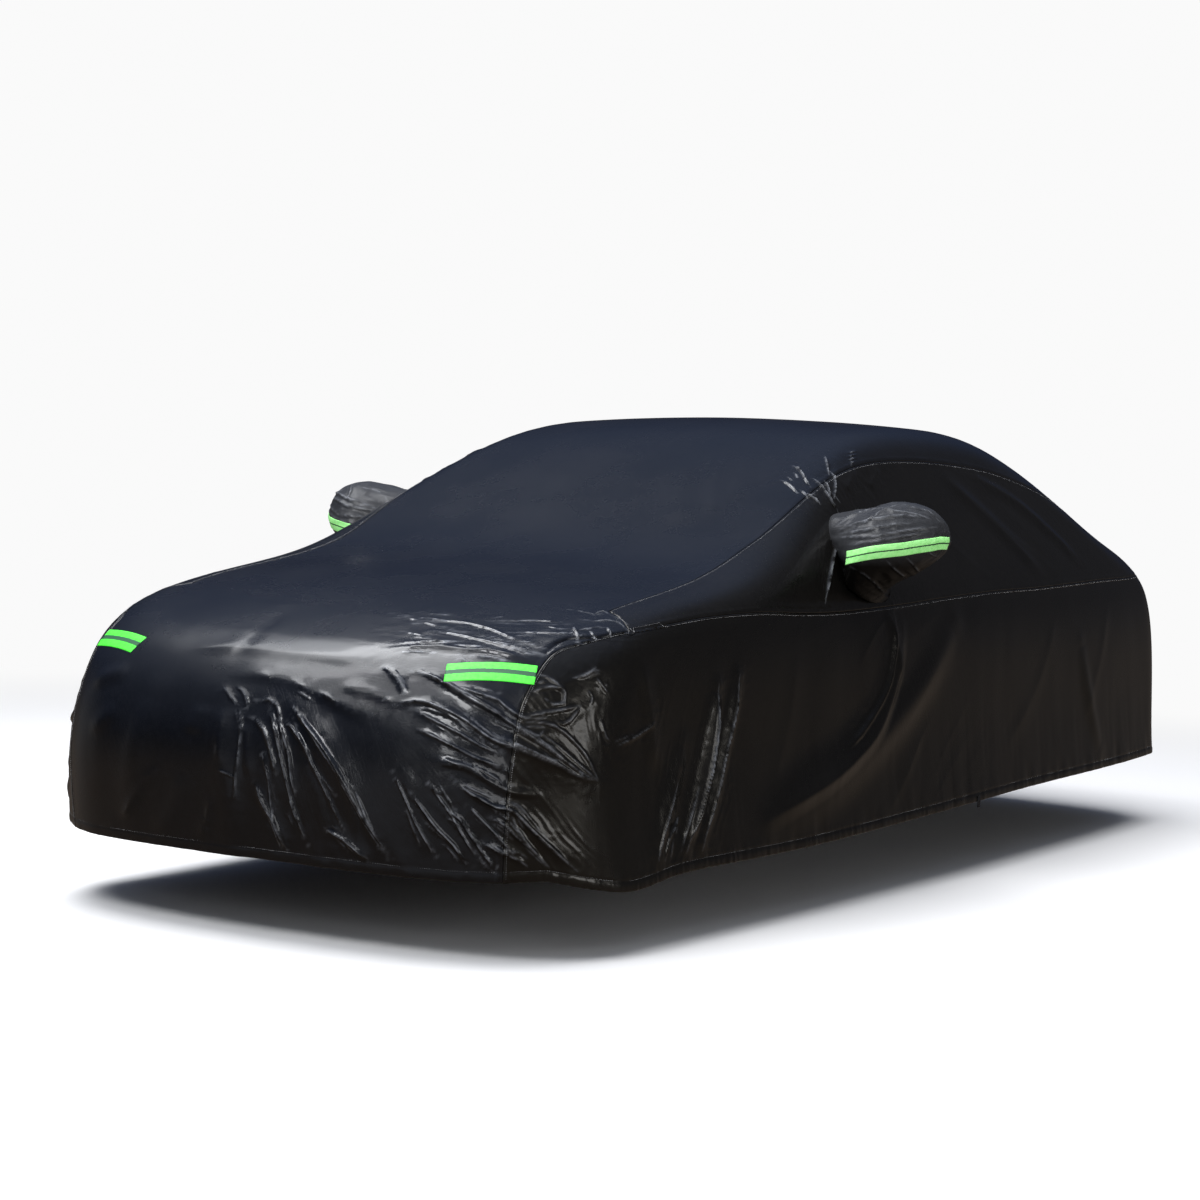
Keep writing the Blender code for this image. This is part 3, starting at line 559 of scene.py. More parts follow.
# main folds, as on the solids: half width, height, start, middle and end
FOLDS = (
    (0.055, 0.015, (-0.13, 0.87, 0.80), (0.38, 0.90, 0.49), (1.12, 0.90, 0.27)),
    (0.026, 0.016, (1.38, 0.85, 0.66), (1.46, 0.86, 0.44), (1.57, 0.87, 0.26)),
    (0.024, 0.013, (1.27, 0.85, 0.68), (1.35, 0.86, 0.50), (1.49, 0.88, 0.26)),
    (0.030, 0.009, (1.55, 0.85, 0.52), (1.63, 0.86, 0.38), (1.70, 0.87, 0.25)),
    (0.040, 0.010, (2.23, 0.09, 0.60), (2.26, 0.25, 0.48), (2.22, 0.42, 0.24)),
    (0.040, 0.008, (2.23, -0.11, 0.60), (2.27, -0.07, 0.40), (2.25, -0.06, 0.24)),
    (0.045, 0.008, (2.20, -0.34, 0.58), (2.24, -0.38, 0.42), (2.21, -0.42, 0.24)),
    (0.034, 0.005, (2.18, 0.53, 0.58), (2.08, 0.74, 0.50), (1.94, 0.81, 0.45)),
    (0.030, 0.004, (2.21, 0.57, 0.43), (2.12, 0.71, 0.36), (1.99, 0.80, 0.25)),
    (0.050, 0.012, (0.10, -0.88, 0.76), (0.42, -0.90, 0.50), (0.95, -0.91, 0.27)),
    (0.030, 0.012, (1.42, -0.85, 0.64), (1.48, -0.86, 0.44), (1.60, -0.87, 0.26)),
    (0.030, 0.010, (-1.35, -0.87, 0.72), (-1.42, -0.89, 0.50), (-1.50, -0.91, 0.30)),
    (0.040, 0.008, (-1.25, 0.87, 0.70), (-1.32, 0.89, 0.50), (-1.42, 0.91, 0.32)),
    (0.045, 0.009, (-2.46, 0.20, 0.70), (-2.49, 0.26, 0.50), (-2.46, 0.34, 0.30)),
    (0.045, 0.008, (-2.46, -0.25, 0.68), (-2.48, -0.20, 0.50), (-2.46, -0.24, 0.30)),
)

# Creases that the camera sees. A group has the place of its own corner in the
# 1200 frame and its zoom. A line has its widths to the left and right of its
# run and its height in mm, how many small creases go with it, and its points.
GROUPS = (
    ("gathers above the left strip", (380, 590), 5.0, (
        (16, 8, 5.0, 4, ((40, 115), (180, 135), (330, 155), (450, 170), (560, 200), (640, 235), (740, 265), (830, 300))),
        (10, 6, 3.5, 3, ((500, 155), (700, 155), (850, 158), (960, 175))),
        (6, 5, 3.0, 2, ((930, 95), (1010, 110), (1080, 125), (1130, 120))),
        (14, 8, 5.0, 5, ((60, 195), (200, 205), (330, 215), (450, 240), (560, 265), (700, 300), (830, 330))),
        (9, 6, 4.0, 3, ((620, 215), (800, 215), (900, 220), (980, 205))),
        (6, 5, 3.0, 2, ((480, 230), (620, 270), (760, 310), (840, 332))),
        (6, 5, 3.0, 2, ((520, 270), (640, 290), (760, 325), (845, 350))),
        (22, 9, 7.0, 5, ((0, 300), (150, 290), (300, 290), (420, 305), (560, 310), (700, 345), (830, 370))),
        (8, 8, 3.0, 1, ((380, 310), (410, 345), (480, 375))),
        (14, 12, -12.0, 0, ((800, 385), (830, 320), (870, 275), (930, 245), (1040, 240), (1130, 232), (1240, 207))),
        (5, 5, 6.0, 0, ((960, 180), (990, 230), (985, 270))),
        (5, 5, 6.0, 0, ((1050, 205), (1075, 240), (1080, 262))),
        (5, 5, 6.0, 0, ((1135, 185), (1150, 215), (1160, 238))),
        (6, 5, 3.5, 1, ((1000, 150), (1080, 160), (1160, 150), (1210, 175), (1240, 205))),
        (6, 5, 3.0, 1, ((890, 240), (960, 215), (1060, 190), (1150, 190))),
        (5, 5, 3.0, 1, ((1060, 130), (1110, 105), (1140, 120))),
    )),
    ("folds under the left strip", (380, 590), 5.0, (
        (14, 8, 7.0, 3, ((100, 395), (250, 430), (420, 530), (560, 610), (700, 700), (830, 790), (960, 890), (1090, 955))),
        (8, 6, 4.0, 2, ((160, 400), (330, 475), (500, 560), (620, 640), (700, 690))),
        (16, 8, 6.0, 2, ((340, 480), (480, 520), (600, 560), (650, 610), (720, 640), (780, 640))),
        (12, 10, 4.0, 2, ((0, 375), (60, 420), (110, 480), (130, 550))),
        (8, 8, 3.0, 1, ((50, 380), (100, 440), (150, 540))),
        (16, 10, 8.0, 4, ((0, 530), (80, 565), (200, 560), (300, 590), (420, 650), (560, 750), (700, 800), (820, 850), (940, 900), (1030, 955))),
        (8, 6, 4.0, 2, ((150, 590), (280, 660), (400, 720), (520, 790), (640, 830))),
        (10, 6, 5.0, 2, ((150, 685), (250, 725), (380, 790), (500, 850), (600, 880), (660, 890))),
        (22, 10, 8.0, 3, ((210, 830), (330, 870), (430, 890), (520, 940), (620, 1000), (720, 1025), (830, 1030))),
        (7, 6, 4.0, 1, ((810, 720), (900, 790), (1000, 880), (1090, 955))),
        (7, 6, 4.0, 1, ((740, 700), (840, 790), (940, 870), (1030, 950))),
        (10, 7, 5.0, 1, ((720, 660), (870, 680), (1000, 790), (1060, 890), (1090, 955))),
        (8, 6, 4.0, 2, ((560, 740), (700, 790), (850, 850), (960, 920), (1090, 955))),
        (5, 4, 3.0, 0, ((670, 640), (700, 690), (740, 720))),
        (5, 4, 3.0, 0, ((690, 690), (745, 715), (790, 735), (820, 700))),
        (5, 4, 2.5, 0, ((690, 775), (662, 798), (692, 812))),
        (5, 4, 2.5, 0, ((640, 850), (668, 872), (648, 902))),
        (5, 4, 2.5, 0, ((612, 898), (655, 915))),
        (5, 4, 2.5, 0, ((645, 975), (628, 1003))),
    )),
    ("crumpled facets behind the left strip", (380, 590), 5.0, (
        (10, 8, 5.0, 1, ((780, 420), (860, 450), (920, 510), (930, 560), (880, 580), (820, 540))),
        (12, 8, 5.0, 1, ((700, 640), (860, 610), (960, 590), (1010, 575))),
        (9, 8, 4.0, 0, ((1010, 575), (960, 640), (930, 675), (870, 650))),
        (14, 8, 5.0, 1, ((760, 510), (830, 490), (900, 490), (930, 540))),
        (8, 8, 4.0, 1, ((960, 440), (1030, 430), (1080, 385))),
        (8, 8, 4.0, 1, ((990, 440), (1060, 410), (1100, 400))),
        (7, 7, 4.0, 1, ((1080, 440), (1110, 480), (1140, 520))),
        (6, 6, 3.0, 0, ((1040, 500), (1060, 540), (1050, 580))),
        (8, 8, 3.0, 0, ((1100, 640), (1130, 740), (1150, 760))),
        (12, 10, 3.0, 1, ((1380, 650), (1300, 720), (1180, 780))),
    )),
    ("lower left front", (380, 590), 5.0, (
        (12, 8, 7.0, 3, ((350, 920), (430, 1000), (500, 1040), (580, 1085), (660, 1100), (740, 1180), (830, 1270), (920, 1350), (990, 1410))),
        (9, 7, 6.0, 2, ((150, 1000), (230, 1110), (300, 1200), (370, 1270), (430, 1360), (470, 1385))),
        (12, 8, 6.0, 3, ((310, 1080), (400, 1140), (440, 1200), (500, 1290), (560, 1370), (610, 1400))),
        (12, 8, 5.0, 3, ((530, 1130), (620, 1170), (680, 1230), (760, 1300), (800, 1340))),
        (14, 8, 5.0, 4, ((500, 1250), (600, 1310), (680, 1340), (740, 1385))),
        (8, 6, 4.0, 1, ((620, 1100), (660, 1140), (690, 1200), (760, 1300))),
        (8, 6, 6.0, 1, ((60, 900), (130, 1040), (190, 1170), (250, 1280), (290, 1350))),
        (8, 6, 6.0, 1, ((230, 940), (300, 1040), (370, 1140), (430, 1250), (500, 1360))),
        (7, 6, 5.0, 1, ((420, 1050), (500, 1140), (560, 1200), (640, 1290), (690, 1350))),
        (7, 6, 5.0, 1, ((560, 1090), (640, 1150), (720, 1250), (790, 1330), (850, 1390))),
        (6, 5, 3.0, 0, ((270, 980), (290, 1010), (320, 1022))),
        (25, 20, 4.0, 0, ((80, 860), (150, 1000), (190, 1200), (260, 1350))),
    )),
    ("hood and lip", (60, 590), 5.0, (
        (30, 30, -3.0, 0, ((1170, 60), (1050, 160), (960, 240), (900, 320), (850, 400))),
        (60, 34, 5.0, 0, ((600, 270), (690, 280), (960, 290), (1200, 320), (1500, 345), (1690, 345))),
        (80, 18, 5.0, 0, ((780, 405), (880, 420), (1000, 430), (1130, 455), (1250, 500), (1400, 570), (1520, 630), (1640, 635))),
        (26, 12, 4.0, 0, ((1380, 480), (1480, 500), (1560, 520), (1690, 560))),
        (8, 8, 3.0, 1, ((1640, 380), (1690, 440), (1740, 520))),
        (9, 7, 5.0, 0, ((820, 480), (845, 520), (890, 580))),
        (12, 9, 6.0, 0, ((880, 480), (920, 510), (935, 560), (940, 600))),
        (14, 11, 8.0, 1, ((950, 620), (1010, 680), (1040, 750), (1060, 830), (1090, 950))),
        (12, 9, 5.5, 0, ((960, 600), (975, 566), (1020, 548), (1070, 552), (1095, 600), (1110, 720), (1120, 850))),
    )),
    ("folds down the nose", (60, 590), 5.0, (
        (12, 8, 10.0, 1, ((1140, 530), (1200, 630), (1290, 740), (1400, 900), (1500, 1080), (1590, 1230), (1670, 1360))),
        (6, 5, 6.0, 0, ((1200, 610), (1290, 765), (1400, 925), (1500, 1105), (1600, 1275), (1650, 1350))),
        (6, 5, 3.0, 0, ((1190, 510), (1225, 530), (1260, 555))),
        (14, 10, 9.0, 2, ((970, 950), (1030, 1080), (1090, 1180), (1140, 1320))),
        (8, 8, 4.0, 1, ((1150, 1030), (1180, 1130), (1205, 1170))),
        (14, 12, 7.0, 1, ((1090, 640), (1140, 800), (1160, 950), (1180, 1040))),
        (10, 8, 6.0, 0, ((1130, 650), (1230, 780), (1260, 860))),
        (25, 25, 4.0, 0, ((820, 580), (805, 750), (800, 900))),
        (20, 20, 4.0, 0, ((930, 640), (935, 800), (945, 950))),
        (9, 7, 6.0, 1, ((1040, 560), (1075, 700), (1110, 860), (1160, 1060), (1220, 1230), (1250, 1300))),
        (8, 6, 5.0, 1, ((1160, 620), (1230, 800), (1310, 960), (1390, 1130), (1450, 1250))),
        (10, 7, 6.0, 1, ((900, 560), (905, 700), (890, 860), (880, 1010), (885, 1120))),
        (9, 7, 5.0, 1, ((1000, 780), (1040, 930), (1060, 1080), (1100, 1230), (1130, 1330))),
        (14, 8, 7.0, 3, ((1320, 1190), (1420, 1240), (1500, 1310), (1560, 1355))),
        (6, 6, 3.0, 0, ((800, 900), (850, 920), (880, 945))),
        (40, 30, 5.0, 0, ((720, 570), (680, 650), (650, 720))),
        (40, 30, 6.0, 0, ((160, 470), (240, 430), (350, 400))),
        (40, 30, 5.0, 0, ((150, 710), (220, 640), (290, 580))),
        (40, 40, 5.0, 0, ((480, 1240), (560, 1100), (640, 900))),
        (20, 20, 4.0, 0, ((700, 1250), (740, 1130), (760, 1000))),
        (20, 16, 4.0, 0, ((300, 1180), (400, 1000), (520, 850))),
    )),
    ("left flank", (0, 0), 1.0, (
        (13, 10, 12.0, 2, ((718, 683), (711, 731), (703, 773), (696, 806), (685, 854))),
        (7, 6, 8.0, 1, ((739, 673), (733, 710), (723, 748), (713, 797), (701, 852))),
        (6, 6, 6.0, 1, ((678, 817), (668, 839), (665, 862))),
        (6, 6, 6.0, 0, ((676, 781), (664, 825), (657, 864))),
        (8, 6, 5.0, 1, ((678, 818), (672, 830), (670, 840))),
        (40, 115, 14.0, 0, ((900, 596), (902, 630), (898, 664), (888, 700), (868, 738), (832, 776), (786, 808), (748, 832))),
        (12, 20, 9.0, 0, ((893, 606), (893, 650), (884, 690), (862, 728), (838, 756))),
        (40, 40, 5.0, 0, ((885, 604), (895, 640), (900, 690))),
        (60, 60, 5.0, 0, ((935, 470), (990, 520), (1050, 580))),
        (30, 50, 5.0, 0, ((960, 470), (1020, 505), (1090, 570))),
        (60, 50, 1.5, 0, ((1060, 600), (1040, 680), (1000, 760))),
        (50, 50, 1.5, 0, ((1110, 590), (1100, 660), (1080, 730))),
        (60, 60, 1.5, 0, ((800, 640), (790, 720), (770, 800))),
        (50, 40, 5.0, 0, ((640, 650), (650, 720), (655, 780))),
    )),
    ("screen and pillar", (0, 0), 1.0, (
        (90, 90, 4.0, 0, ((690, 452), (684, 485), (678, 530))),
        (70, 60, 4.0, 0, ((722, 448), (716, 480), (710, 525))),
        (50, 50, 2.0, 0, ((748, 450), (742, 475), (736, 505))),
        (8, 7, 7.0, 1, ((792, 465), (800, 470), (805, 479), (811, 488))),
        (7, 6, 6.0, 1, ((782, 480), (788, 484), (793, 488), (798, 494))),
        (8, 7, 8.0, 1, ((813, 478), (822, 488), (829, 499), (839, 513))),
        (7, 6, 6.0, 0, ((824, 480), (828, 488), (830, 498))),
        (7, 6, 7.0, 0, ((829, 470), (834, 477), (835, 485), (834, 499))),
        (7, 6, 5.0, 0, ((825, 456), (827, 465), (829, 475))),
        (7, 6, 6.0, 1, ((806, 493), (812, 497), (821, 505))),
        (6, 6, 4.0, 0, ((852, 449), (852, 457), (851, 466))),
        (24, 24, 3.0, 0, ((855, 468), (851, 480), (845, 492))),
        (24, 24, 3.0, 0, ((879, 464), (875, 477), (869, 490))),
        (7, 6, 4.0, 0, ((800, 490), (804, 493), (808, 499))),
        (9, 8, 8.5, 0, ((838, 534), (835, 548), (832, 560), (828, 583), (825, 604))),
        (8, 7, 6.5, 1, ((841, 538), (843, 552), (843, 568), (847, 582))),
    )),
)


def spawn(pixels, left, right, high, count, rng):
    """Small creases beside a line: parts of it, shifted, turned and narrower."""
    pts = smooth_path(np.asarray(pixels, float), np.linspace(0, 1, 24))
    out = []
    for _ in range(count):
        a = rng.uniform(0.0, 0.65)
        b = min(a + rng.uniform(0.2, 0.45), 1.0)
        part = pts[int(a * 23): int(b * 23) + 1]
        if len(part) < 3:
            continue
        run = part[-1] - part[0]
        run = run / max(np.linalg.norm(run), 1e-9)
        across = np.array([-run[1], run[0]])
        shift = rng.choice((-1, 1)) * rng.uniform(2.2, 7.0)
        turn = rng.normal(0, 0.10) * np.linspace(-0.5, 0.5, len(part))[:, None] * np.linalg.norm(part[-1] - part[0])
        size = rng.uniform(0.35, 0.6)
        out.append((part + across * (shift + turn), max(left * size, 3.6), max(right * size, 3.6), high * size * rng.uniform(0.7, 1.2)))
    return out


# how much of its stated height each group keeps
SHARE = {"lower left front": 1.05, "folds down the nose": 1.0, "hood and lip": 0.60, "gathers above the left strip": 0.66, "screen and pillar": 1.2}


# and how pale the tops of its creases are painted: partly the coating's wear, partly a painted highlight
WORN_AND_HIGHLIGHT = {"folds down the nose": 0.78, "gathers above the left strip": 2.2, "screen and pillar": 1.5, "lower left front": 1.25}


def make_creases():
    rng = np.random.default_rng(11)
    made = []
    for name, corner, zoom, lines in GROUPS:
        first = len(made)
        for left, right, high, kids, points in lines:
            px = np.asarray(corner) + np.asarray(points, float) / zoom
            small = max(left, right) < 18
            if small:
                fine = 0.60 if name.startswith("gathers") else 0.72
                left, right = fine * left, fine * right
                high *= SHARE.get(name, 0.90)
                if kids > 1 and not name.startswith("gathers"):
                    # the flat facets that meet in the crease
                    made.append(Crease(line_on(px), mm(3.4 * left), mm(2.4 * right), mm(0.55 * high), 1.05, 0.0012))
            soft = 0.0008 if small else 0.004 if max(left, right) < 40 else 0.010
            fade = (0.45, 0.30) if small and name.startswith("gathers") else (0.25, 0.25)
            made.append(Crease(line_on(px), mm(left), mm(right), mm(high), 1.45 if small else 1.9, soft, fade))
            for part, kl, kr, kh in spawn(px, left, right, high, kids, rng):
                made.append(Crease(line_on(part, 7), mm(kl), mm(kr), mm(kh), 1.6, 0.0010, (0.4, 0.4)))
        for crease in made[first:]:
            crease.worn_and_highlight = WORN_AND_HIGHLIGHT.get(name, 1.0)
    # short creases that run down onto the lip
    lip = smooth_path([(228, 671), (260, 676), (286, 681), (310, 690), (340, 704), (364, 716), (388, 717)], np.linspace(0, 1, 60))
    for k in range(26):
        x, y = lip[int(rng.uniform(12, 59))]
        size = rng.uniform(9, 24)
        tilt = rng.uniform(0.45, 0.75)
        a = (x - size * math.cos(tilt), y - size * math.sin(tilt))
        m = (x - 0.45 * size * math.cos(tilt) + rng.normal(0, 0.5), y - 0.5 * size * math.sin(tilt))
        made.append(Crease(line_on([a, m, (x + 2.5, y + 2.0)], 6), 0.006, 0.005, mm(rng.uniform(0.4, 1.0)), 1.5, 0.0008, (0.5, 0.15)))
    return made + far_creases(made)


def unseen(line):
    """The longest part of a line on the form that the camera doesn't see."""
    away = ((EYE - line) * outward(line)[1]).sum(-1) < 0.15
    best, start = (0, 0), None
    for k, hidden in enumerate([*away, False]):
        if hidden and start is None:
            start = k
        if not hidden and start is not None:
            best = max(best, (k - start, start))
            start = None
    return line[best[1]: best[1] + best[0]]


def far_creases(seen_ones):
    """Folds and gathers on the sides that the photo doesn't show: some as on
    the left, some that hang from the seams and the hem."""
    rng = np.random.default_rng(23)
    out = []
    for crease in seen_ones:
        if rng.uniform() < 0.25:
            continue
        line = flip(crease.points) + rng.normal(0, 0.02, 3) * np.array([1, 0, 0.6])
        line = unseen(settle(line))
        if len(line) >= 4:
            size = rng.uniform(0.8, 1.15)
            out.append(Crease(line, max(crease.right * size, 0.012), max(crease.left * size, 0.012),
                              crease.high * rng.uniform(0.5, 0.85), crease.power, max(crease.soft, 0.002), (0.35, 0.35)))

    def hang(start, end, wide, high, bow, soft=0.002):
        t = np.linspace(0, 1, 9)[:, None]
        line = np.array(start) + t * (np.array(end) - np.array(start))
        line = line + np.sin(np.pi * t) * np.array(bow)
        line = unseen(settle(line))
        if len(line) >= 4:
            out.append(Crease(line, wide, wide * rng.uniform(0.6, 1.1), high, 1.8, soft, (0.3, 0.35)))

    # the right side
    for k in range(28):
        x = rng.uniform(-2.0, 1.55)
        top = rng.uniform(0.55, 0.86)
        low = max(top - rng.uniform(0.15, 0.42), 0.28)
        drift = rng.normal(0.02, 0.09)
        hang((x, -0.90, top), (x + drift, -0.92, low), rng.uniform(0.018, 0.046), mm(rng.uniform(3.5, 9.0)), (rng.normal(0, 0.03), 0, 0), 0.006)
    # the tail and both rear corners
    for k in range(26):
        turn = rng.uniform(-1.15, 1.15)
        top = rng.uniform(0.50, 0.90)
        low = max(top - rng.uniform(0.15, 0.45), 0.29)
        a = np.array([-1.95 - 0.52 * math.cos(turn), 0.86 * math.sin(1.25 * turn)])
        turn += rng.normal(0, 0.07)
        b = np.array([-1.95 - 0.53 * math.cos(turn), 0.88 * math.sin(1.25 * turn)])
        hang((*a, top), (*b, low), rng.uniform(0.020, 0.046), mm(rng.uniform(3.5, 9.0)), (0, rng.normal(0, 0.02), 0), 0.006)
    # gathers above the hem
    for k in range(70):
        low = rng.uniform(0.265, 0.29)
        top = low + rng.uniform(0.05, 0.12)
        if k < 42:
            x = rng.uniform(-2.05, 1.70)
            hang((x, -0.92, top), (x + rng.normal(0, 0.012), -0.92, low), rng.uniform(0.008, 0.012), mm(rng.uniform(1.5, 3.0)), (0, 0, 0))
        else:
            turn = rng.uniform(-1.2, 1.2)
            a = np.array([-1.95 - 0.52 * math.cos(turn), 0.87 * math.sin(1.25 * turn)])
            hang((*a, top), (*a, low), rng.uniform(0.008, 0.014), mm(rng.uniform(1.5, 3.0)), (0, 0, 0))
    # gathers where the seams meet at the windscreen's foot, on the right
    for k in range(16):
        x = rng.uniform(1.45, 1.85)
        y = -rng.uniform(0.50, 0.70)
        hang((x, y, 0.85), (x + rng.uniform(-0.05, 0.05), y - rng.uniform(0.05, 0.14), 0.80), 0.009, mm(rng.uniform(1.5, 3.5)), (0.01, 0, 0))
    return out


CREASES = make_creases()


def fold_lines():
    out = []
    t = np.linspace(0, 1, 15)[:, None]
    for wide, high, start, middle, end in FOLDS:
        a, m, b = np.array(start), np.array(middle), np.array(end)
        c = 2 * m - 0.5 * (a + b)
        out.append((wide, high, settle((1 - t) ** 2 * a + 2 * t * (1 - t) * c + t * t * b)))
    return out


FOLD_LINES = fold_lines()


def fold_height(p):
    out = np.zeros(len(p))
    for wide, high, line in FOLD_LINES:
        reach = 3 * wide
        inside = np.nonzero(((p >= line.min(0) - reach) & (p <= line.max(0) + reach)).all(1))[0]
        if not len(inside):
            continue
        q = p[inside]
        near, along = np.full(len(q), 9.0), np.zeros(len(q))
        for k, (a, b) in enumerate(zip(line, line[1:])):
            t = np.clip(((q - a) @ (b - a)) / ((b - a) @ (b - a)), 0, 1)
            d = np.linalg.norm(q - a - t[:, None] * (b - a), axis=-1)
            along = np.where(d < near, (k + t) / (len(line) - 1), along)
            near = np.minimum(near, d)
        fade = np.sin(np.pi * np.clip(along, 0.04, 0.96)) ** 0.6
        out[inside] += high * fade * np.exp(-((near / wide) ** 2))
    return out


# Small creases that run side by side: middle and half size of the patch where
# they are seen, the way they run (degrees down to the right, or a point that
# they run to), their spacing in the same frame, height in mm, and kind
STREAKS = (
    ((480, 634), (112, 21), 7, 4.8, 2.2, 0),
    ((592, 640), (42, 13), -4, 4.2, 1.8, 0),
    ((425, 674), (62, 16), 14, 5.0, 1.3, 0),
    ((500, 726), (78, 40), (600, 783), 6.5, 2.0, 1),
    ((566, 722), (36, 48), (600, 783), 6.0, 1.9, 1),
    ((450, 805), (80, 62), 50, 8.0, 3.4, 2),
    ((520, 846), (62, 34), 42, 6.5, 3.0, 2),
    ((330, 790), (80, 75), 68, 9.0, 2.8, 3),
    ((300, 694), (55, 16), 72, 6.0, 1.6, 3),
    ((690, 780), (34, 80), 101, 6.0, 1.8, 3),
    ((810, 487), (32, 28), 52, 4.6, 2.6, 2),
    ((833, 562), (15, 48), 98, 4.4, 2.6, 3),
    ((905, 700), (60, 95), 118, 14.0, 2.2, 3),
    ((1000, 520), (95, 50), 44, 14.0, 1.8, 2),
    ((112, 720), (32, 60), 100, 9.0, 1.4, 3),
)


# and on the pockets, out from where they are sewn on
POCKET_STREAKS = (
    ((868, 524), (30, 22), (812, 534), 5.0, 2.4, 0),
    ((912, 518), (34, 16), (780, 560), 6.5, 1.8, 0),
    ((890, 575), (44, 22), 38, 8.0, 2.4, 2),
)


def streaks(p, n, table=STREAKS):
    """Height of the small creases that run side by side, and how strong each
    kind of them is, from level to upright."""
    facing = ((EYE - p) * n).sum(-1) > 0
    px = seen(p)
    out, kinds = np.zeros(len(p)), np.zeros((len(p), 4))
    for k, (middle, size, way, wave, tall, kind) in enumerate(table):
        d = (px - np.array(middle)) / np.array(size)
        inside = np.nonzero(facing & ((d * d).sum(1) < 5))[0]
        if not len(inside):
            continue
        weight = np.exp(-((d[inside] ** 2).sum(1)) ** 1.3)
        q = px[inside]
        if isinstance(way, tuple):
            away = q - np.array(way)
            far = math.dist(way, middle)
            along = np.linalg.norm(away, axis=1)
            across = np.arctan2(away[:, 1], away[:, 0]) * far
            across = np.where(across < -math.pi * far / 2, across + 2 * math.pi * far, across)
        else:
            c, s = math.cos(math.radians(way)), math.sin(math.radians(way))
            along, across = q @ np.array([c, s]), q @ np.array([-s, c])
        flat = np.stack([along / (13 * wave), across / (6 * wave), 0 * along], -1)
        u = across / wave + 1.1 * noise(flat, 300 + k) + 0.4 * noise(flat * 2.7, 320 + k)
        lane = np.floor(u)
        own = hash01(lane.astype(np.int64), k, 3, 340)
        other = hash01(lane.astype(np.int64), k, 9, 350)
        crest = 0.35 + 0.3 * own
        f = u - lane
        off = np.where(f < crest, (crest - f) / crest, (f - crest) / (1 - crest))
        tent = np.clip(1 - off / (0.55 + 0.45 * other), 0, 1) ** 1.35
        gate = np.clip(0.15 + 1.5 * noise(np.stack([along / (6.5 * wave) + 9 * own, 7.31 * lane, 0 * along], -1), 360 + k), 0, 1)
        out[inside] += mm(tall) * weight * gate * (0.35 + 0.65 * other) * tent
        kinds[inside, kind] = np.maximum(kinds[inside, kind], weight)
    return out, kinds


def activity(p):
    """How crumpled the cloth is, 0 to 1: high near the creases."""
    out = np.zeros(len(p))
    for crease in CREASES:
        if crease.left > 0.03:
            continue
        line = crease.points[::2]
        reach = 0.09
        lo, hi = line.min(0) - reach, line.max(0) + reach
        near = np.nonzero(((p >= lo) & (p <= hi)).all(1))[0]
        if not len(near):
            continue
        d = np.full(len(near), 9.0)
        for point in line:
            d = np.minimum(d, np.linalg.norm(p[near] - point, axis=1))
        out[near] = np.maximum(out[near], np.exp(-(d / 0.05) ** 2))
    return out


def height(p, n, detail=1.0):
    """Height of the outer face over the form, and how crumpled it is."""
    shape = p.shape[:-1]
    q, m = p.reshape(-1, 3), n.reshape(-1, 3)
    out = np.zeros(len(q))
    # slow unevenness; the sides hang in long upright waves
    upright = np.clip(1 - np.abs(m[:, 2]) * 1.6, 0, 1)
    out += 0.0022 * cloud(q / np.array([0.42, 0.36, 0.40]), 3)
    out += upright * 0.0022 * cloud(q / np.array([0.15, 0.15, 0.75]) + 0.35 * noise(q / 0.5, 9)[:, None], 21, 2)
    low = np.clip((0.62 - q[:, 2]) / 0.40, 0, 1)
    out += upright * low * 0.0030 * np.abs(cloud(q / np.array([0.075, 0.075, 0.50]), 33, 2))
    out += fold_height(q)
    act = activity(q)
    sharp = np.zeros(len(q))
    for crease in CREASES:
        crease.add_to(q, m, sharp, detail)
    warp = 0.4 * np.stack([noise(q / 0.06, 51), noise(q / 0.06, 52), noise(q / 0.06, 53)], -1)
    fine = 1 - 2.2 * np.abs(noise(q / 0.034 + warp, 61))
    fine2 = 1 - 2.2 * np.abs(noise(q / 0.017 + warp, 62))
    sharp += detail * act * (0.0006 * fine + 0.0003 * fine2)
    sharp += streaks(q, m)[0]
    out += sharp * (1 - 0.8 * under_strips(q))
    return out.reshape(shape), act.reshape(shape)


# ------------------------------------------------------------ fine grids
def spread(runs):
    """Stations from runs of (from, to, spacing)."""
    out = []
    for a, b, size in runs:
        out.append(np.linspace(a, b, max(int(round(abs(b - a) / size)), 1), endpoint=False))
    return np.concatenate([*out, [runs[-1][1]]])


def by_station(points, stations):
    fine = smooth_path(points, np.linspace(0, 1, 1200))
    return np.stack([np.interp(-np.asarray(stations), -fine[:, 0], fine[:, k]) for k in range(fine.shape[1])], 1)


ROWS = [np.array(row[1:], float) for row in BORDER]
NAMES = [row[0] for row in BORDER]
JOINT = NAMES.index("tuck")
LAST_SIDE = len(NAMES) - 1 - NAMES[::-1].index("side")


def border_part(part, share):
    """Rows (x, y, z, centre x, centre z) of one part of the border."""
    if part == "nose":
        return smooth_path(ROWS[:JOINT], share)
    if part == "front":
        a, b = ROWS[JOINT - 1], ROWS[JOINT]
        return a + (b - a) * np.asarray(share)[:, None]
    if part == "side":
        return by_station(ROWS[JOINT: LAST_SIDE + 1], share)
    if part == "back":
        a, b = by_station(ROWS[JOINT: LAST_SIDE + 1], [-2.080])[0], ROWS[LAST_SIDE + 1]
        return a + (b - a) * np.asarray(share)[:, None]
    return smooth_path(ROWS[LAST_SIDE + 1:], share)


def on_border(rows):
    return settle(rows[:, :3])


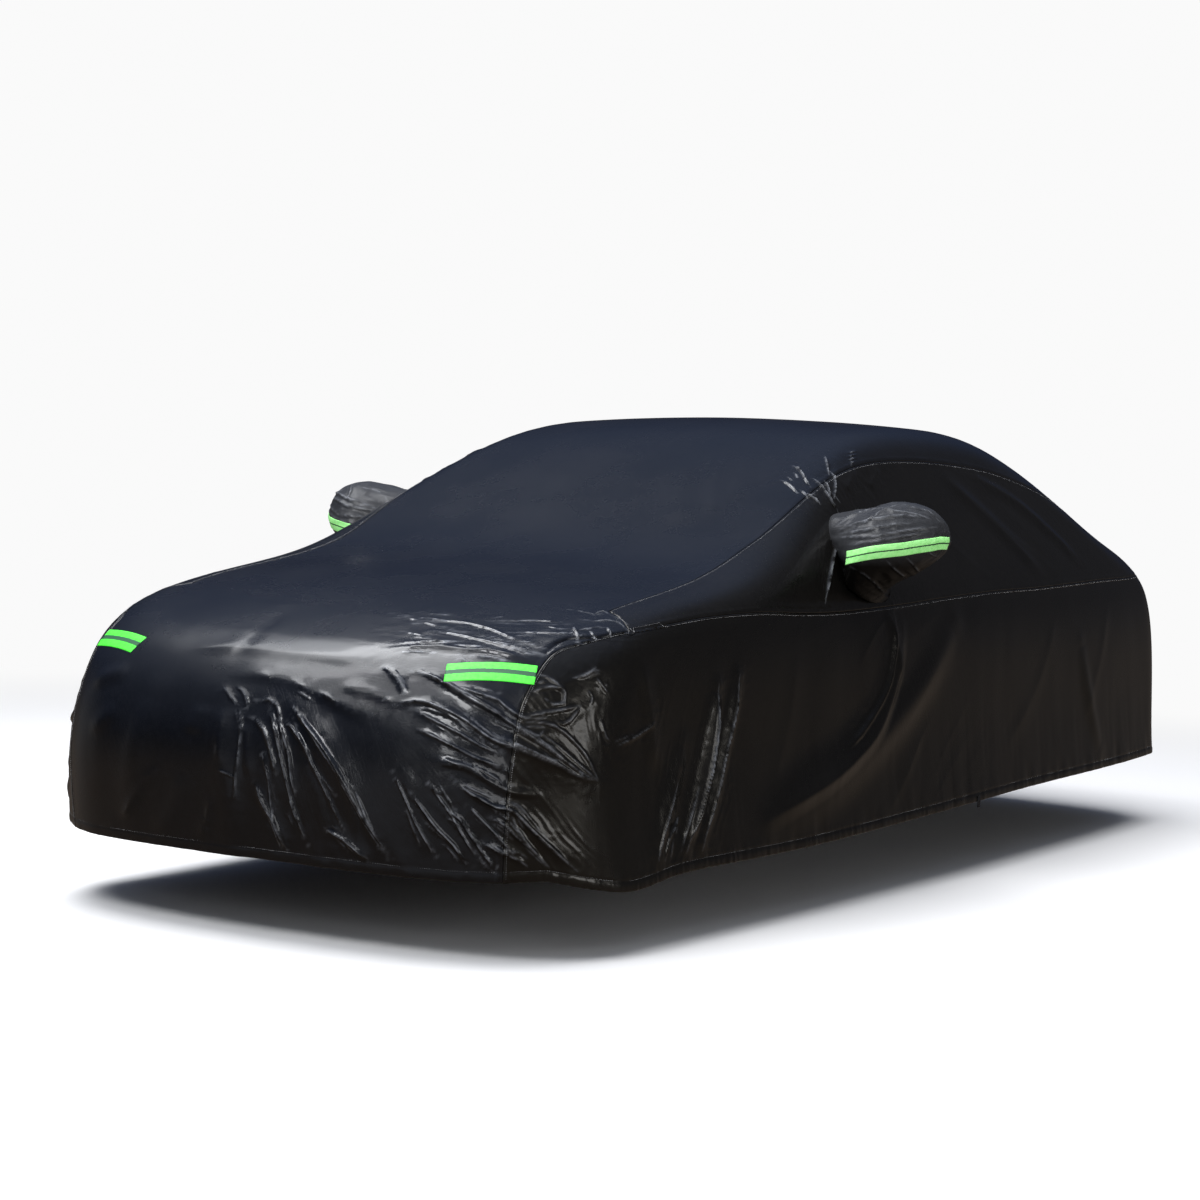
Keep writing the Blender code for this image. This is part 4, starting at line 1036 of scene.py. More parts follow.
def fill_patch(top, bottom, front, rear):
    u = np.linspace(0, 1, len(top))[:, None, None]
    v = np.linspace(0, 1, len(front))[None, :, None]
    patch = (
        (1 - v) * top[:, None] + v * bottom[:, None] + (1 - u) * front[None] + u * rear[None]
        - (1 - u) * (1 - v) * top[0] - u * (1 - v) * top[-1] - (1 - u) * v * bottom[0] - u * v * bottom[-1]
    )
    inner = settle(patch)
    inner[0], inner[-1], inner[:, 0], inner[:, -1] = front, rear, top, bottom
    return inner


def side_share(x):
    return (1.672 - np.asarray(x)) / (1.672 + 2.080)


FRONT_END, REAR_END = ROWS[JOINT - 1][:3], ROWS[LAST_SIDE + 1][:3]


def belt_line(x):
    front, rear = settle(np.array([FRONT_END, REAR_END]))
    xx = front[0] + side_share(x) * (rear[0] - front[0])
    z = by_station([(a, b) for a, b in BELT], np.clip(xx, BELT[-1][0], BELT[0][0]))[:, 1]
    points = settle_sideways(np.stack([xx, 0 * xx, z], 1))
    points[0], points[-1] = front, rear
    return points


def hem_line(x):
    """The hem from the front corner seam round the corner and along the side
    to the rear one, at even shares of its length."""
    front, rear = settle(np.array([ROWS[0][:3], ROWS[-1][:3]]))
    xx = np.linspace(front[0], rear[0], 500)
    line = np.stack([xx, 0.93 - 0.2 * np.abs(xx / 2.35) ** 8, table_line(xx, HEM)], 1)
    t = np.linspace(0, 1, 60)[:-1, None]
    line = settle(np.concatenate([front + t * (line[0] - front), line, rear + (1 - t[::-1]) * (line[-1] - rear)]))
    at = lengths(line, 0)
    share = side_share(x) * at[-1]
    points = np.stack([np.interp(share, at, line[:, k]) for k in range(3)], 1)
    points[0], points[-1] = front, rear
    return points


# ------------------------------------------------------------ meshes
def make_mesh(name, points, quads, tris=None, uv=None, values=None, sighted=False, polys=()):
    """A mesh object from points in the tables' frame, moved to the row frame."""
    quads = np.asarray(quads, np.int32).reshape(-1, 4)
    tris = np.zeros((0, 3), np.int32) if tris is None else np.asarray(tris, np.int32).reshape(-1, 3)
    mesh = bpy.data.meshes.new(name)
    mesh.vertices.add(len(points))
    mesh.vertices.foreach_set("co", (np.asarray(points) + SHIFT).astype(np.float32).ravel())
    loops = np.concatenate([quads.ravel(), tris.ravel(), *[np.array(poly, np.int32) for poly in polys]])
    sizes = np.concatenate([np.full(len(quads), 4), np.full(len(tris), 3), [len(poly) for poly in polys]]).astype(int)
    starts = np.concatenate([[0], np.cumsum(sizes)[:-1]]) if len(sizes) else np.zeros(0)
    mesh.loops.add(len(loops))
    mesh.loops.foreach_set("vertex_index", loops.astype(np.int32))
    mesh.polygons.add(len(sizes))
    mesh.polygons.foreach_set("loop_start", starts.astype(np.int32))
    if uv is not None:
        layer = mesh.uv_layers.new(name="cloth")
        layer.data.foreach_set("uv", np.asarray(uv, np.float32)[loops].ravel())
    if sighted:
        # a second map, laid along the same lines as the creases
        layer = mesh.uv_layers.new(name="front")
        layer.data.foreach_set("uv", (seen(points) / 100)[loops].astype(np.float32).ravel())
    for key, value in (values or {}).items():
        attribute = mesh.attributes.new(key, "FLOAT", "POINT")
        attribute.data.foreach_set("value", np.asarray(value, np.float32).ravel())
    mesh.update(calc_edges=True)
    mesh.validate()
    mesh.shade_smooth()
    obj = bpy.data.objects.new(name, mesh)
    bpy.context.scene.collection.objects.link(obj)
    return obj


def grid_quads(m, n, turned):
    i, j = np.meshgrid(np.arange(m - 1), np.arange(n - 1), indexing="ij")
    a, b = i * n + j, (i + 1) * n + j
    if turned:
        return np.stack([a, b, b + 1, a + 1], -1).reshape(-1, 4)
    return np.stack([a, a + 1, b + 1, b], -1).reshape(-1, 4)


EDGE_ROWS = np.array([0.0, 0.0005, 0.0013, 0.0028, 0.0052, 0.0088])
ROLL_R = 0.0028


def open_edge(grid, depth, axis, end, clear=0.0125):
    """Rows close to a seam edge, for the cloth's rolled edge there. depth is
    how far a point lies under the face."""
    g, d = np.moveaxis(grid, axis, 0), np.moveaxis(depth, axis, 0)
    if end:
        g, d = g[::-1], d[::-1]
    line = g[0]
    wide = 3
    ahead = np.concatenate([line[wide:], np.repeat(line[-1:], wide, 0)])
    behind = np.concatenate([np.repeat(line[:1], wide, 0), line[:-wide]])
    along = ahead - behind
    n = outward(line)[1]
    m = np.cross(n, along)
    m /= np.linalg.norm(m, axis=1, keepdims=True)
    m *= np.sign(((g[min(4, len(g) - 1)] - line) * m).sum())
    far = np.median(np.linalg.norm(g[1:16] - line, axis=-1), axis=1)
    keep = 1 + int(np.argmax(far > clear))
    room = np.linalg.norm(g[keep] - line, axis=-1)
    shrink = np.minimum(1.0, 0.8 * room / (EDGE_ROWS[-1] + GAP))
    rows, depths = [], []
    for e in EDGE_ROWS:
        at = settle(line + m * ((GAP / 2 + e) * shrink)[:, None], 2)
        rows.append(at)
        near = np.clip(ROLL_R - e, 0, None)
        depths.append(d[0] + (ROLL_R - math.sqrt(max(ROLL_R**2 - near**2, 0))))
    g = np.concatenate([np.array(rows), g[keep:]])
    d = np.concatenate([np.array(depths), d[keep:]])
    if end:
        g, d = g[::-1], d[::-1]
    return np.moveaxis(g, 0, axis), np.moveaxis(d, 0, axis)


def lengths(points, axis):
    size = np.linalg.norm(np.diff(points, axis=axis), axis=-1)
    zero = np.zeros_like(np.take(size, [0], axis=axis))
    return np.concatenate([zero, np.cumsum(size, axis=axis)], axis=axis)


HEM_BAND = 0.024
HEM_ROLL = 0.0022


def blocks(count, lead, tail, until):
    """Where blocks of a grid's rows start: single rows, then four at a time up
    to a row, then single ones."""
    out = list(range(lead + 1))
    while out[-1] + 4 <= min(until, count - 1 - tail):
        out.append(out[-1] + 4)
    return np.array(out + list(range(out[-1] + 1, count)))


def bends(points, n, reach):
    """How far each point stands off the line between its neighbours."""
    out = np.zeros(points.shape[:2])
    k = reach
    a = np.abs(((points[:-2 * k] - 2 * points[k:-k] + points[2 * k:]) * n[k:-k]).sum(-1)) / 2
    out[k:-k] = a
    b = np.abs(((points[:, :-2 * k] - 2 * points[:, k:-k] + points[:, 2 * k:]) * n[:, k:-k]).sum(-1)) / 2
    out[:, k:-k] = np.maximum(out[:, k:-k], b)
    return out


def fitted_faces(points, n, rows, cols, turned, budget):
    """Faces of a grid, small where the cloth bends sharply and larger where it
    is flat, up to a number of triangles."""
    m, w = points.shape[:2]
    fine, coarse = bends(points, n, 1), bends(points, n, 2)
    tall, wide = np.diff(rows), np.diff(cols)

    def worst(field):
        a = np.maximum.reduceat(np.maximum.reduceat(field, rows[:-1], 0), cols[:-1], 1)
        return a[: len(tall), : len(wide)]

    fine, coarse = worst(fine), worst(coarse)
    single = (tall[:, None] == 1) & (wide[None] == 1)
    whole = tall[:, None] * wide[None]
    half = np.maximum(tall[:, None] // 2, 1) * np.maximum(wide[None] // 2, 1)
    for limit in 0.00002 * 1.09 ** np.arange(60):
        level = np.where(fine > limit, 2, np.where(coarse > 1.6 * limit, 1, 0))
        level[single] = 2
        count = 2 * np.where(level == 2, whole, np.where(level == 1, half, 1)).sum()
        edges = (np.abs(np.diff(level, axis=0)) > 0).sum() * 2 + (np.abs(np.diff(level, axis=1)) > 0).sum() * 2
        if count + edges <= budget:
            break
    used = np.zeros((m, w), bool)
    cell = np.zeros((m - 1, w - 1), bool)
    larger = []
    for r in range(len(tall)):
        for c in range(len(wide)):
            i0, j0, h, k = rows[r], cols[c], tall[r], wide[c]
            if level[r, c] == 2:
                used[i0: i0 + h + 1, j0: j0 + k + 1] = True
                cell[i0: i0 + h, j0: j0 + k] = True
                continue
            dh, dk = (h, k) if level[r, c] == 0 else (max(h // 2, 1), max(k // 2, 1))
            used[i0: i0 + h + 1: dh, j0: j0 + k + 1: dk] = True
            larger += [(i, j, i + dh, j + dk) for i in range(i0, i0 + h, dh) for j in range(j0, j0 + k, dk)]
    i, j = np.nonzero(cell)
    a, b = i * w + j, (i + 1) * w + j
    quads = [np.stack([a, b, b + 1, a + 1], -1) if turned else np.stack([a, a + 1, b + 1, b], -1)]
    plain, polys = [], []
    for i0, j0, i1, j1 in larger:
        ring = [i0 * w + j for j in range(j0, j1) if used[i0, j]]
        ring += [i * w + j1 for i in range(i0, i1) if used[i, j1]]
        ring += [i1 * w + j for j in range(j1, j0, -1) if used[i1, j]]
        ring += [i * w + j0 for i in range(i1, i0, -1) if used[i, j0]]
        if turned:
            ring = ring[::-1]
        (plain if len(ring) == 4 else polys).append(ring)
    if plain:
        quads.append(np.array(plain))
    return np.concatenate(quads), polys


def onto_oval(points, quads):
    """Draw a hole's border onto the mirror's oval."""
    pairs = np.concatenate([quads[:, [0, 1]], quads[:, [1, 2]], quads[:, [2, 3]], quads[:, [3, 0]]])
    pairs, count = np.unique(np.sort(pairs, axis=1), axis=0, return_counts=True)
    rim = np.unique(pairs[count == 1])
    r = mouth_radius(points[rim])
    rim = rim[r < 1.2]
    r = mouth_radius(points[rim])
    dz = (points[rim, 2] - MOUTH["z"]) * 0.975 / r
    dx = (points[rim, 0] - MOUTH["x"]) * 0.975 / r
    points[rim, 0], points[rim, 2] = MOUTH["x"] + dx, MOUTH["z"] + dz
    return points


def shader_values(p, n):
    """Values that the cloth's material reads at each vertex."""
    flat_p, flat_n = p.reshape(-1, 3), n.reshape(-1, 3)
    kinds = streaks(flat_p, flat_n)[1]
    crest = np.zeros(len(flat_p))
    for crease in CREASES:
        crease.crest_on(flat_p, flat_n, crest)
    return {"crest": crest, **{"streak_%d" % k: kinds[:, k] for k in range(4)}}


def cloth_sheet(name, grid, seams, hems, turned, hole=None, fit=None, detail=1.0):
    """A panel from a grid of points on the form. seams and hems name its edges:
    (axis, end). fit gives the rows and columns, before the edges' own ones, up
    to which faces may be joined, and the number of triangles."""
    depth = np.zeros(grid.shape[:2])
    for axis, end in seams:
        grid, depth = open_edge(grid, depth, axis, end)
    n = outward(grid)[1]
    high, act = height(grid, n, detail)
    u, v = lengths(grid, 0), lengths(grid, 1)
    for axis, end in seams:
        away = (u, v)[axis]
        away = (away.max(axis=axis, keepdims=True) - away) if end else away
        # sewing draws the cloth in and puckers it
        pucker = noise(grid / 0.013, 71) + 0.6 * noise(grid / 0.007, 72)
        high = high + np.exp(-((away - 0.010) / 0.006) ** 2) * 0.0007
        high = high + np.exp(-away / 0.016) * 0.0007 * pucker * (1 - np.exp(-away / 0.003))
    for axis, end in hems:
        away = (u, v)[axis]
        away = (away.max(axis=axis, keepdims=True) - away) if end else away
        flat = grid / np.array([0.011, 0.011, 0.10])
        gather = noise(flat, 81) + 0.5 * noise(flat * 2.1, 82)
        wave = noise(grid / np.array([0.05, 0.05, 0.30]), 83)
        band = np.clip(away / HEM_BAND, 0, 1)
        casing = np.sin(np.pi * band) * (away < HEM_BAND)
        high = high + casing * 0.0009 + np.exp(-((away - HEM_BAND) / 0.0030) ** 2) * -0.0009
        high = high + np.exp(-(away / 0.030) ** 2) * 0.0010 * gather
        high = high + np.exp(-(away / 0.060) ** 2) * 0.0022 * wave
    points = grid + n * (high - depth)[..., None]
    # the hem's roll
    for axis, end in hems:
        p, m = np.moveaxis(points, axis, 0), np.moveaxis(n, axis, 0)
        uu, vv, aa = (np.moveaxis(k, axis, 0) for k in (u, v, act))
        if end:
            p, m, uu, vv, aa = (k[::-1] for k in (p, m, uu, vv, aa))
        flat = m[0].copy()
        flat[:, 2] = 0
        flat /= np.linalg.norm(flat, axis=1, keepdims=True)
        ring = []
        for angle in np.radians([35, 75, 115, 150, 180]):
            ring.append(p[0] - flat * HEM_ROLL * (1 - math.cos(angle)) - np.array([0, 0, HEM_ROLL * math.sin(angle)]))
        for up in (0.006, 0.014, 0.020):
            ring.append(ring[4] + np.array([0, 0, up]) - flat * 0.001)
        ring = np.array(ring[::-1])
        k = len(ring)
        p = np.concatenate([ring, p])
        m = np.concatenate([np.repeat(m[:1], k, 0), m])
        run = np.linspace(k, 1, k)[:, None] * 0.003
        if axis == 0:
            uu = np.concatenate([uu[:1] - run * (1 if not end else -1), uu])
            vv = np.concatenate([np.repeat(vv[:1], k, 0), vv])
        else:
            vv = np.concatenate([vv[:1] - run * (1 if not end else -1), vv])
            uu = np.concatenate([np.repeat(uu[:1], k, 0), uu])
        aa = np.concatenate([np.repeat(aa[:1], k, 0), aa])
        if end:
            p, m, uu, vv, aa = (q[::-1] for q in (p, m, uu, vv, aa))
        points, n, u, v, act = (np.moveaxis(q, 0, axis) for q in (p, m, uu, vv, aa))
    # the seam allowance, turned in
    for axis, end in seams:
        p, m = np.moveaxis(points, axis, 0), np.moveaxis(n, axis, 0)
        uu, vv, aa = (np.moveaxis(k, axis, 0) for k in (u, v, act))
        if end:
            p, m, uu, vv, aa = (k[::-1] for k in (p, m, uu, vv, aa))
        p = np.concatenate([p[:1] - m[:1] * 0.006, p])
        m = np.concatenate([m[:1], m])
        uu, vv, aa = (np.concatenate([k[:1], k]) for k in (uu, vv, aa))
        if end:
            p, m, uu, vv, aa = (k[::-1] for k in (p, m, uu, vv, aa))
        points, n, u, v, act = (np.moveaxis(q, 0, axis) for q in (p, m, uu, vv, aa))
    polys = []
    if fit is None:
        quads = grid_quads(points.shape[0], points.shape[1], turned)
    else:
        rows = blocks(points.shape[0], *fit[0])
        cols = blocks(points.shape[1], *fit[1])
        quads, polys = fitted_faces(points, n, rows, cols, turned, fit[2])
    flat_points = points.reshape(-1, 3)
    used = None
    if hole is not None:
        centre = flat_points[quads].mean(1)
        quads = quads[hole(centre) > 0.985]
        used, quads = np.unique(quads, return_inverse=True)
        quads = quads.reshape(-1, 4)
        flat_points = flat_points[used].copy()
        flat_points = onto_oval(flat_points, quads)
    elif fit is not None:
        corners = [np.array(poly) for poly in polys]
        used, index = np.unique(np.concatenate([quads.ravel(), *corners]), return_inverse=True)
        ends = np.cumsum([quads.size] + [len(poly) for poly in polys])
        polys = [index[a:b] for a, b in zip(ends, ends[1:])]
        quads = index[: quads.size].reshape(-1, 4)
        flat_points = flat_points[used]
    uv = np.stack([u, v], -1).reshape(-1, 2)
    act = act.reshape(-1)
    values = shader_values(points, n)
    values["crumple"] = act
    if used is not None:
        uv = uv[used]
        values = {key: value[used] for key, value in values.items()}
    print("sheet", name, points.shape[:2], "triangles", 2 * len(quads) + sum(len(poly) - 2 for poly in polys))
    return make_mesh(name, flat_points, quads, uv=uv, values=values, sighted=True, polys=polys)


# ------------------------------------------------------------ the panels' grids
def centre_sheet():
    """Rows from the front hem to the rear hem, columns from left to right."""
    nose = border_part("nose", np.linspace(0, 1, 400))
    front = border_part("front", np.linspace(0, 1, 45))[1:]
    side = border_part("side", spread((
        (1.672, 0.900, 0.0090), (0.900, 0.760, 0.0080), (0.760, 0.330, 0.0042), (0.330, 0.190, 0.0080), (0.190, -0.950, 0.020), (-0.950, -2.080, 0.0120),
    )))[1:]
    back = border_part("back", np.linspace(0, 1, 12))[1:]
    tail = border_part("tail", np.linspace(0, 1, 58))[1:]
    table = np.vstack([nose, front, side, back, tail])
    border = settle(table[:, :3])
    middle = settle(np.stack([table[:, 3], 0 * table[:, 3], table[:, 4]], 1))
    middle[:, 1] = 0
    v = np.concatenate([
        1 - np.linspace(0, 1, 264, endpoint=False) ** 1.08,
        -np.linspace(0, 1, 140) ** 0.94,
    ])
    w = np.abs(v)[None, :, None]
    tip = np.where(v[None, :, None] > 0, border[:, None], flip(border)[:, None])
    grid = middle[:, None] * (1 - w**2) + tip * w**2
    grid[..., 1] = tip[..., 1] * w[..., 0]
    grid = settle(grid)
    grid[:, 0], grid[:, -1] = border, flip(border)
    return grid, len(nose) + len(front)


def side_columns(spacing):
    return spread(spacing)


def lower_grid(spacing, rows):
    x = side_columns(spacing)
    front = on_border(border_part("nose", np.linspace(1, 0, rows)))
    rear = on_border(border_part("tail", np.linspace(0, 1, rows)))
    return fill_patch(belt_line(x), hem_line(x), front, rear)


def upper_grid(spacing, rows):
    x = side_columns(spacing)
    top = on_border(border_part("side", x))
    front = on_border(border_part("front", np.linspace(1, 0, rows)))
    rear = on_border(border_part("back", np.linspace(0, 1, rows)))
    return fill_patch(top, belt_line(x), front, rear)


def mouth_radius(points):
    """1 on the mirror hole's oval, less inside it."""
    dz = (points[..., 2] - MOUTH["z"]) / MOUTH["half_z"]
    dx = (points[..., 0] - MOUTH["x"] - MOUTH["lean"] * dz) / MOUTH["half_x"]
    return np.where(np.abs(points[..., 1]) > 0.5, np.hypot(dx, dz), 9.0)


def mouth_points(angles, grow=1.0):
    x = MOUTH["x"] + grow * MOUTH["half_x"] * np.cos(angles) + grow * MOUTH["lean"] * np.sin(angles)
    z = MOUTH["z"] + grow * MOUTH["half_z"] * np.sin(angles)
    return settle_sideways(np.stack([x, 0 * x, z], -1))


# ------------------------------------------------------------ the mirror pockets
RINGS, ROUND = 116, 176
POCKET_LINES = (
    # widths to the left and right of the run and height in mm, and where it
    # shows on the left pocket in the 1200 frame
    (9, 7, 6.0, ((837, 531), (860, 523), (890, 517), (925, 517))),
    (7, 6, 5.0, ((838, 534), (862, 531), (885, 526), (915, 523))),
    (8, 6, 5.0, ((836, 527), (846, 519), (862, 512), (884, 508))),
    (6, 5, 4.5, ((838, 537), (870, 537), (905, 531), (938, 527))),
    (6, 5, 4.0, ((850, 528), (872, 520), (880, 512), (898, 505))),
    (5, 5, 4.0, ((880, 505), (893, 511), (912, 514), (932, 520))),
    (5, 5, 4.0, ((902, 504), (915, 509), (928, 512), (940, 522))),
    (6, 5, 4.0, ((845, 546), (870, 542), (900, 537), (930, 531))),
    (6, 6, 4.0, ((886, 560), (896, 569), (906, 577))),
    (5, 5, 3.5, ((927, 551), (933, 555), (938, 557))),
    (7, 6, 4.5, ((850, 566), (868, 576), (884, 592))),
    (6, 6, 4.0, ((905, 556), (915, 566), (920, 574))),
)


# how much shorter each pocket's outer part hangs than its cloth allows, and how
# much lower and slimmer it is there
POCKET_SAG = {"left": (0.955, 0.000, 0.02), "right": (0.800, 0.014, 0.10)}


def sagged(points, side):
    short, lower, slim = POCKET_SAG[side]
    out = points.copy()
    far = np.clip((points[..., 1] - 0.868) / 0.234, 0, 1)
    out[..., 1] = np.where(points[..., 1] > 0.868, 0.868 + (points[..., 1] - 0.868) * short, points[..., 1])
    out[..., 2] -= lower * far
    out[..., 0] = 0.478 + (points[..., 0] - 0.478) * (1 - slim * far)
    return out


def pocket_base(angles, parts):
    """Rings of a left pocket from its mouth to its last ring, as on the solid."""
    mouth = mouth_points(angles)
    rings = [mouth + outward(mouth)[1] * GAP]
    for x, y, z, half, up, down, off in POCKET:
        c, s = np.cos(angles), np.sin(angles)
        lift = np.where(s > 0, up, down) * s
        ring = np.stack([x + half * c, y - 0.35 * np.maximum(-lift, 0), z + lift], -1)
        ring[:, 1] = np.maximum(ring[:, 1], settle_sideways(ring)[:, 1] + off)
        rings.append(ring)
    rings = np.array(rings)
    count = len(rings)
    padded = np.concatenate([2 * rings[:1] - rings[1:2], rings, 2 * rings[-1:] - rings[-2:-1]])
    out = []
    for share in parts:
        k = min(int(share * (count - 1)), count - 2)
        t = share * (count - 1) - k
        a, b, c, d = padded[k: k + 4]
        out.append(0.5 * (2 * b + t * (c - a) + t**2 * (2 * a - 5 * b + 4 * c - d) + t**3 * (3 * b - a - 3 * c + d)))
    return np.array(out)


def ring_normals(points):
    du = np.gradient(points, axis=0)
    dv = np.roll(points, -1, axis=1) - np.roll(points, 1, axis=1)
    n = np.cross(du, dv)
    n /= np.linalg.norm(n, axis=-1, keepdims=True)
    out = points - points.mean(axis=1, keepdims=True)
    return n * np.sign((n * out).sum())


def hits_on(points, quads, pixels):
    """Places on a mesh along the camera's lines of sight."""
    tree = BVHTree.FromPolygons([tuple(p) for p in points], [tuple(int(k) for k in q) for q in quads])
    out = []
    for d in sight(pixels):
        hit = tree.ray_cast(Vector(EYE), Vector(d))[0]
        if hit is not None:
            out.append(np.array(hit))
    return out


def make_pocket(left):
    angles = np.linspace(0, 2 * math.pi, ROUND, endpoint=False)
    part = np.linspace(0, 1, RINGS)
    base = sagged(pocket_base(angles, part), "left" if left else "right")
    n = ring_normals(base)
    lines = []
    quads = []
    for i in range(RINGS - 1):
        for j in range(ROUND):
            a, b = i * ROUND + j, i * ROUND + (j + 1) % ROUND
            quads.append((a, b, b + ROUND, a + ROUND))
    flat_n, flat_p = n.reshape(-1, 3), base.reshape(-1, 3)
    high, crest = np.zeros(len(flat_p)), np.zeros(len(flat_p))
    seed = 401 if left else 431
    for wide, narrow, tall, pixels in POCKET_LINES:
        path = smooth_path(np.array(pixels, float), np.linspace(0, 1, 12))
        found = hits_on(flat_p, quads, path)
        if len(found) > 3:
            shift = np.zeros(3) if left else np.array([0.012 * hash01(len(lines), 3, 1, 5), 0, -0.02 * hash01(len(lines), 2, 7, 5)])
            crease = Crease(np.array(found) + shift, mm(wide), mm(narrow), mm(tall), 1.6, 0.0012)
            crease.add_to(flat_p, flat_n, high)
            crease.crest_on(flat_p, flat_n, crest)
            lines.append(found)
    # crumpled film: broad facets and small crinkles
    warp = 0.5 * np.stack([noise(flat_p / 0.05, seed + k) for k in range(3)], -1)
    share = np.repeat(part, ROUND)
    free = np.clip(share / 0.12, 0, 1) * (0.35 + 0.65 * np.clip((1 - share) / 0.25, 0, 1))
    high += free * 0.0020 * (1 - 2.1 * np.abs(noise(flat_p / 0.070 + warp, seed + 11)))
    high += free * 0.0005 * (1 - 2.1 * np.abs(noise(flat_p / 0.026 + warp, seed + 12)))
    high += free * streaks(flat_p, flat_n, POCKET_STREAKS)[0]
    # gathers that run out from the mouth's seam
    around = np.tile(angles, RINGS)
    ring_place = np.stack([np.cos(around) * 3.2, np.sin(around) * 3.2, share * 1.2], -1)
    high += np.exp(-share / 0.10) * (1 - np.exp(-share / 0.012)) * 0.0040 * noise(ring_place * 2.4, seed + 21)
    # and at the tip, where the cloth is drawn together
    high += np.exp(-(1 - share) / 0.16) * 0.0030 * noise(np.stack([np.cos(around) * 5, np.sin(around) * 5, share], -1), seed + 22)
    points = base + n * high.reshape(RINGS, ROUND)[..., None]
    tip = points[-1].mean(0) + np.array([0, 0.004, 0])
    # the cloth's turned edge at the mouth
    edge = points[0] - outward(base[0])[1] * 0.004
    rows = np.concatenate([edge[None], points])
    count = len(rows)
    all_points = np.vstack([rows.reshape(-1, 3), tip[None]])
    quads, tris = [], []
    for i in range(count - 1):
        for j in range(ROUND):
            a, b = i * ROUND + j, i * ROUND + (j + 1) % ROUND
            quads.append((b, a, a + ROUND, b + ROUND))
    last = (count - 1) * ROUND
    for j in range(ROUND):
        tris.append((last + (j + 1) % ROUND, last + j, count * ROUND))
    length = np.concatenate([[-0.004], lengths(points, 0).mean(1)])
    girth = 2 * math.pi * 0.10
    uv = np.stack([np.repeat(length, ROUND), np.tile(angles / (2 * math.pi) * girth, count)], -1)
    uv = np.vstack([uv, [[length[-1] + 0.02, 0]]])
    act = np.concatenate([np.full(count * ROUND, 0.5), [0.5]])
    quads, tris = np.array(quads), np.array(tris)
    # which way round: the normals point away from the pocket's middle
    q = all_points[quads[ROUND * 20]]
    face = np.cross(q[1] - q[0], q[2] - q[0])
    if face @ (q.mean(0) - rows[20].mean(0)) < 0:
        quads, tris = quads[:, ::-1], tris[:, ::-1]
    if not left:
        all_points, quads, tris = flip(all_points), quads[:, ::-1], tris[:, ::-1]
    obj = make_mesh("pocket_" + ("left" if left else "right"), all_points, quads, tris, uv=uv, values={"crumple": act, "crest": np.concatenate([np.zeros(ROUND), crest, [0]])}, sighted=True)
    return obj, points, angles, part


def pocket_strip(left, points, angles, part):
    """A reflective strip that lies on the pocket's cloth, from root to tip."""
    first = int(0.135 * RINGS)
    rows, ups = [], []
    for k in range(first, RINGS):
        share = (part[k] - part[first]) / (1 - part[first])
        drop = np.interp(share, (0, 0.5, 1), POCKET_STRIP_DROP)
        ring = points[k]
        # the ring from a quarter below to a quarter above its foremost point
        order = np.arange(-ROUND // 4, ROUND // 4 + 1)
        line = ring[order % ROUND]
        size = np.linalg.norm(np.diff(line, axis=0), axis=1)
        at = np.concatenate([[0], np.cumsum(size)])
        at -= at[ROUND // 4]
        want = np.linspace(-(POCKET_STRIP / 2 + drop), POCKET_STRIP / 2 - drop, 15)
        want = np.clip(want, at[0], at[-1])
        rows.append(np.stack([np.interp(want, at, line[:, c]) for c in range(3)], 1))
    # over the outer end
    ring = points[-1]
    back = np.array([ring[(ROUND // 2 + ROUND // 4 - j) % ROUND] for j in range(ROUND // 2 + 1)])
    size = np.linalg.norm(np.diff(back, axis=0), axis=1)
    at = np.concatenate([[0], np.cumsum(size)])
    at -= at[ROUND // 4]
    want = np.clip(np.linspace(-(POCKET_STRIP / 2 + drop), POCKET_STRIP / 2 - drop, 15), at[0], at[-1])
    rear = np.stack([np.interp(want, at, back[:, c]) for c in range(3)], 1)
    for t in np.linspace(0, 0.62, 12)[1:]:
        row = (1 - t) * rows[RINGS - 1 - first] + t * rear
        row[:, 1] += 0.006 * 4 * t * (1 - t)
        rows.append(row)
    grid = np.array(rows)
    # a woven strip is stiffer than the cloth, so it bridges the smallest creases
    smooth = grid.copy()
    for _ in range(5):
        smooth[1:-1] = 0.5 * smooth[1:-1] + 0.25 * (smooth[:-2] + smooth[2:])
        smooth[:, 1:-1] = 0.5 * smooth[:, 1:-1] + 0.25 * (smooth[:, :-2] + smooth[:, 2:])
    n = np.cross(np.gradient(smooth, axis=0), np.gradient(smooth, axis=1))
    n /= np.linalg.norm(n, axis=-1, keepdims=True)
    middle = points.mean(axis=(0, 1))
    n *= np.sign((n * (grid - middle)).sum())
    return smooth + n * 0.0022, n


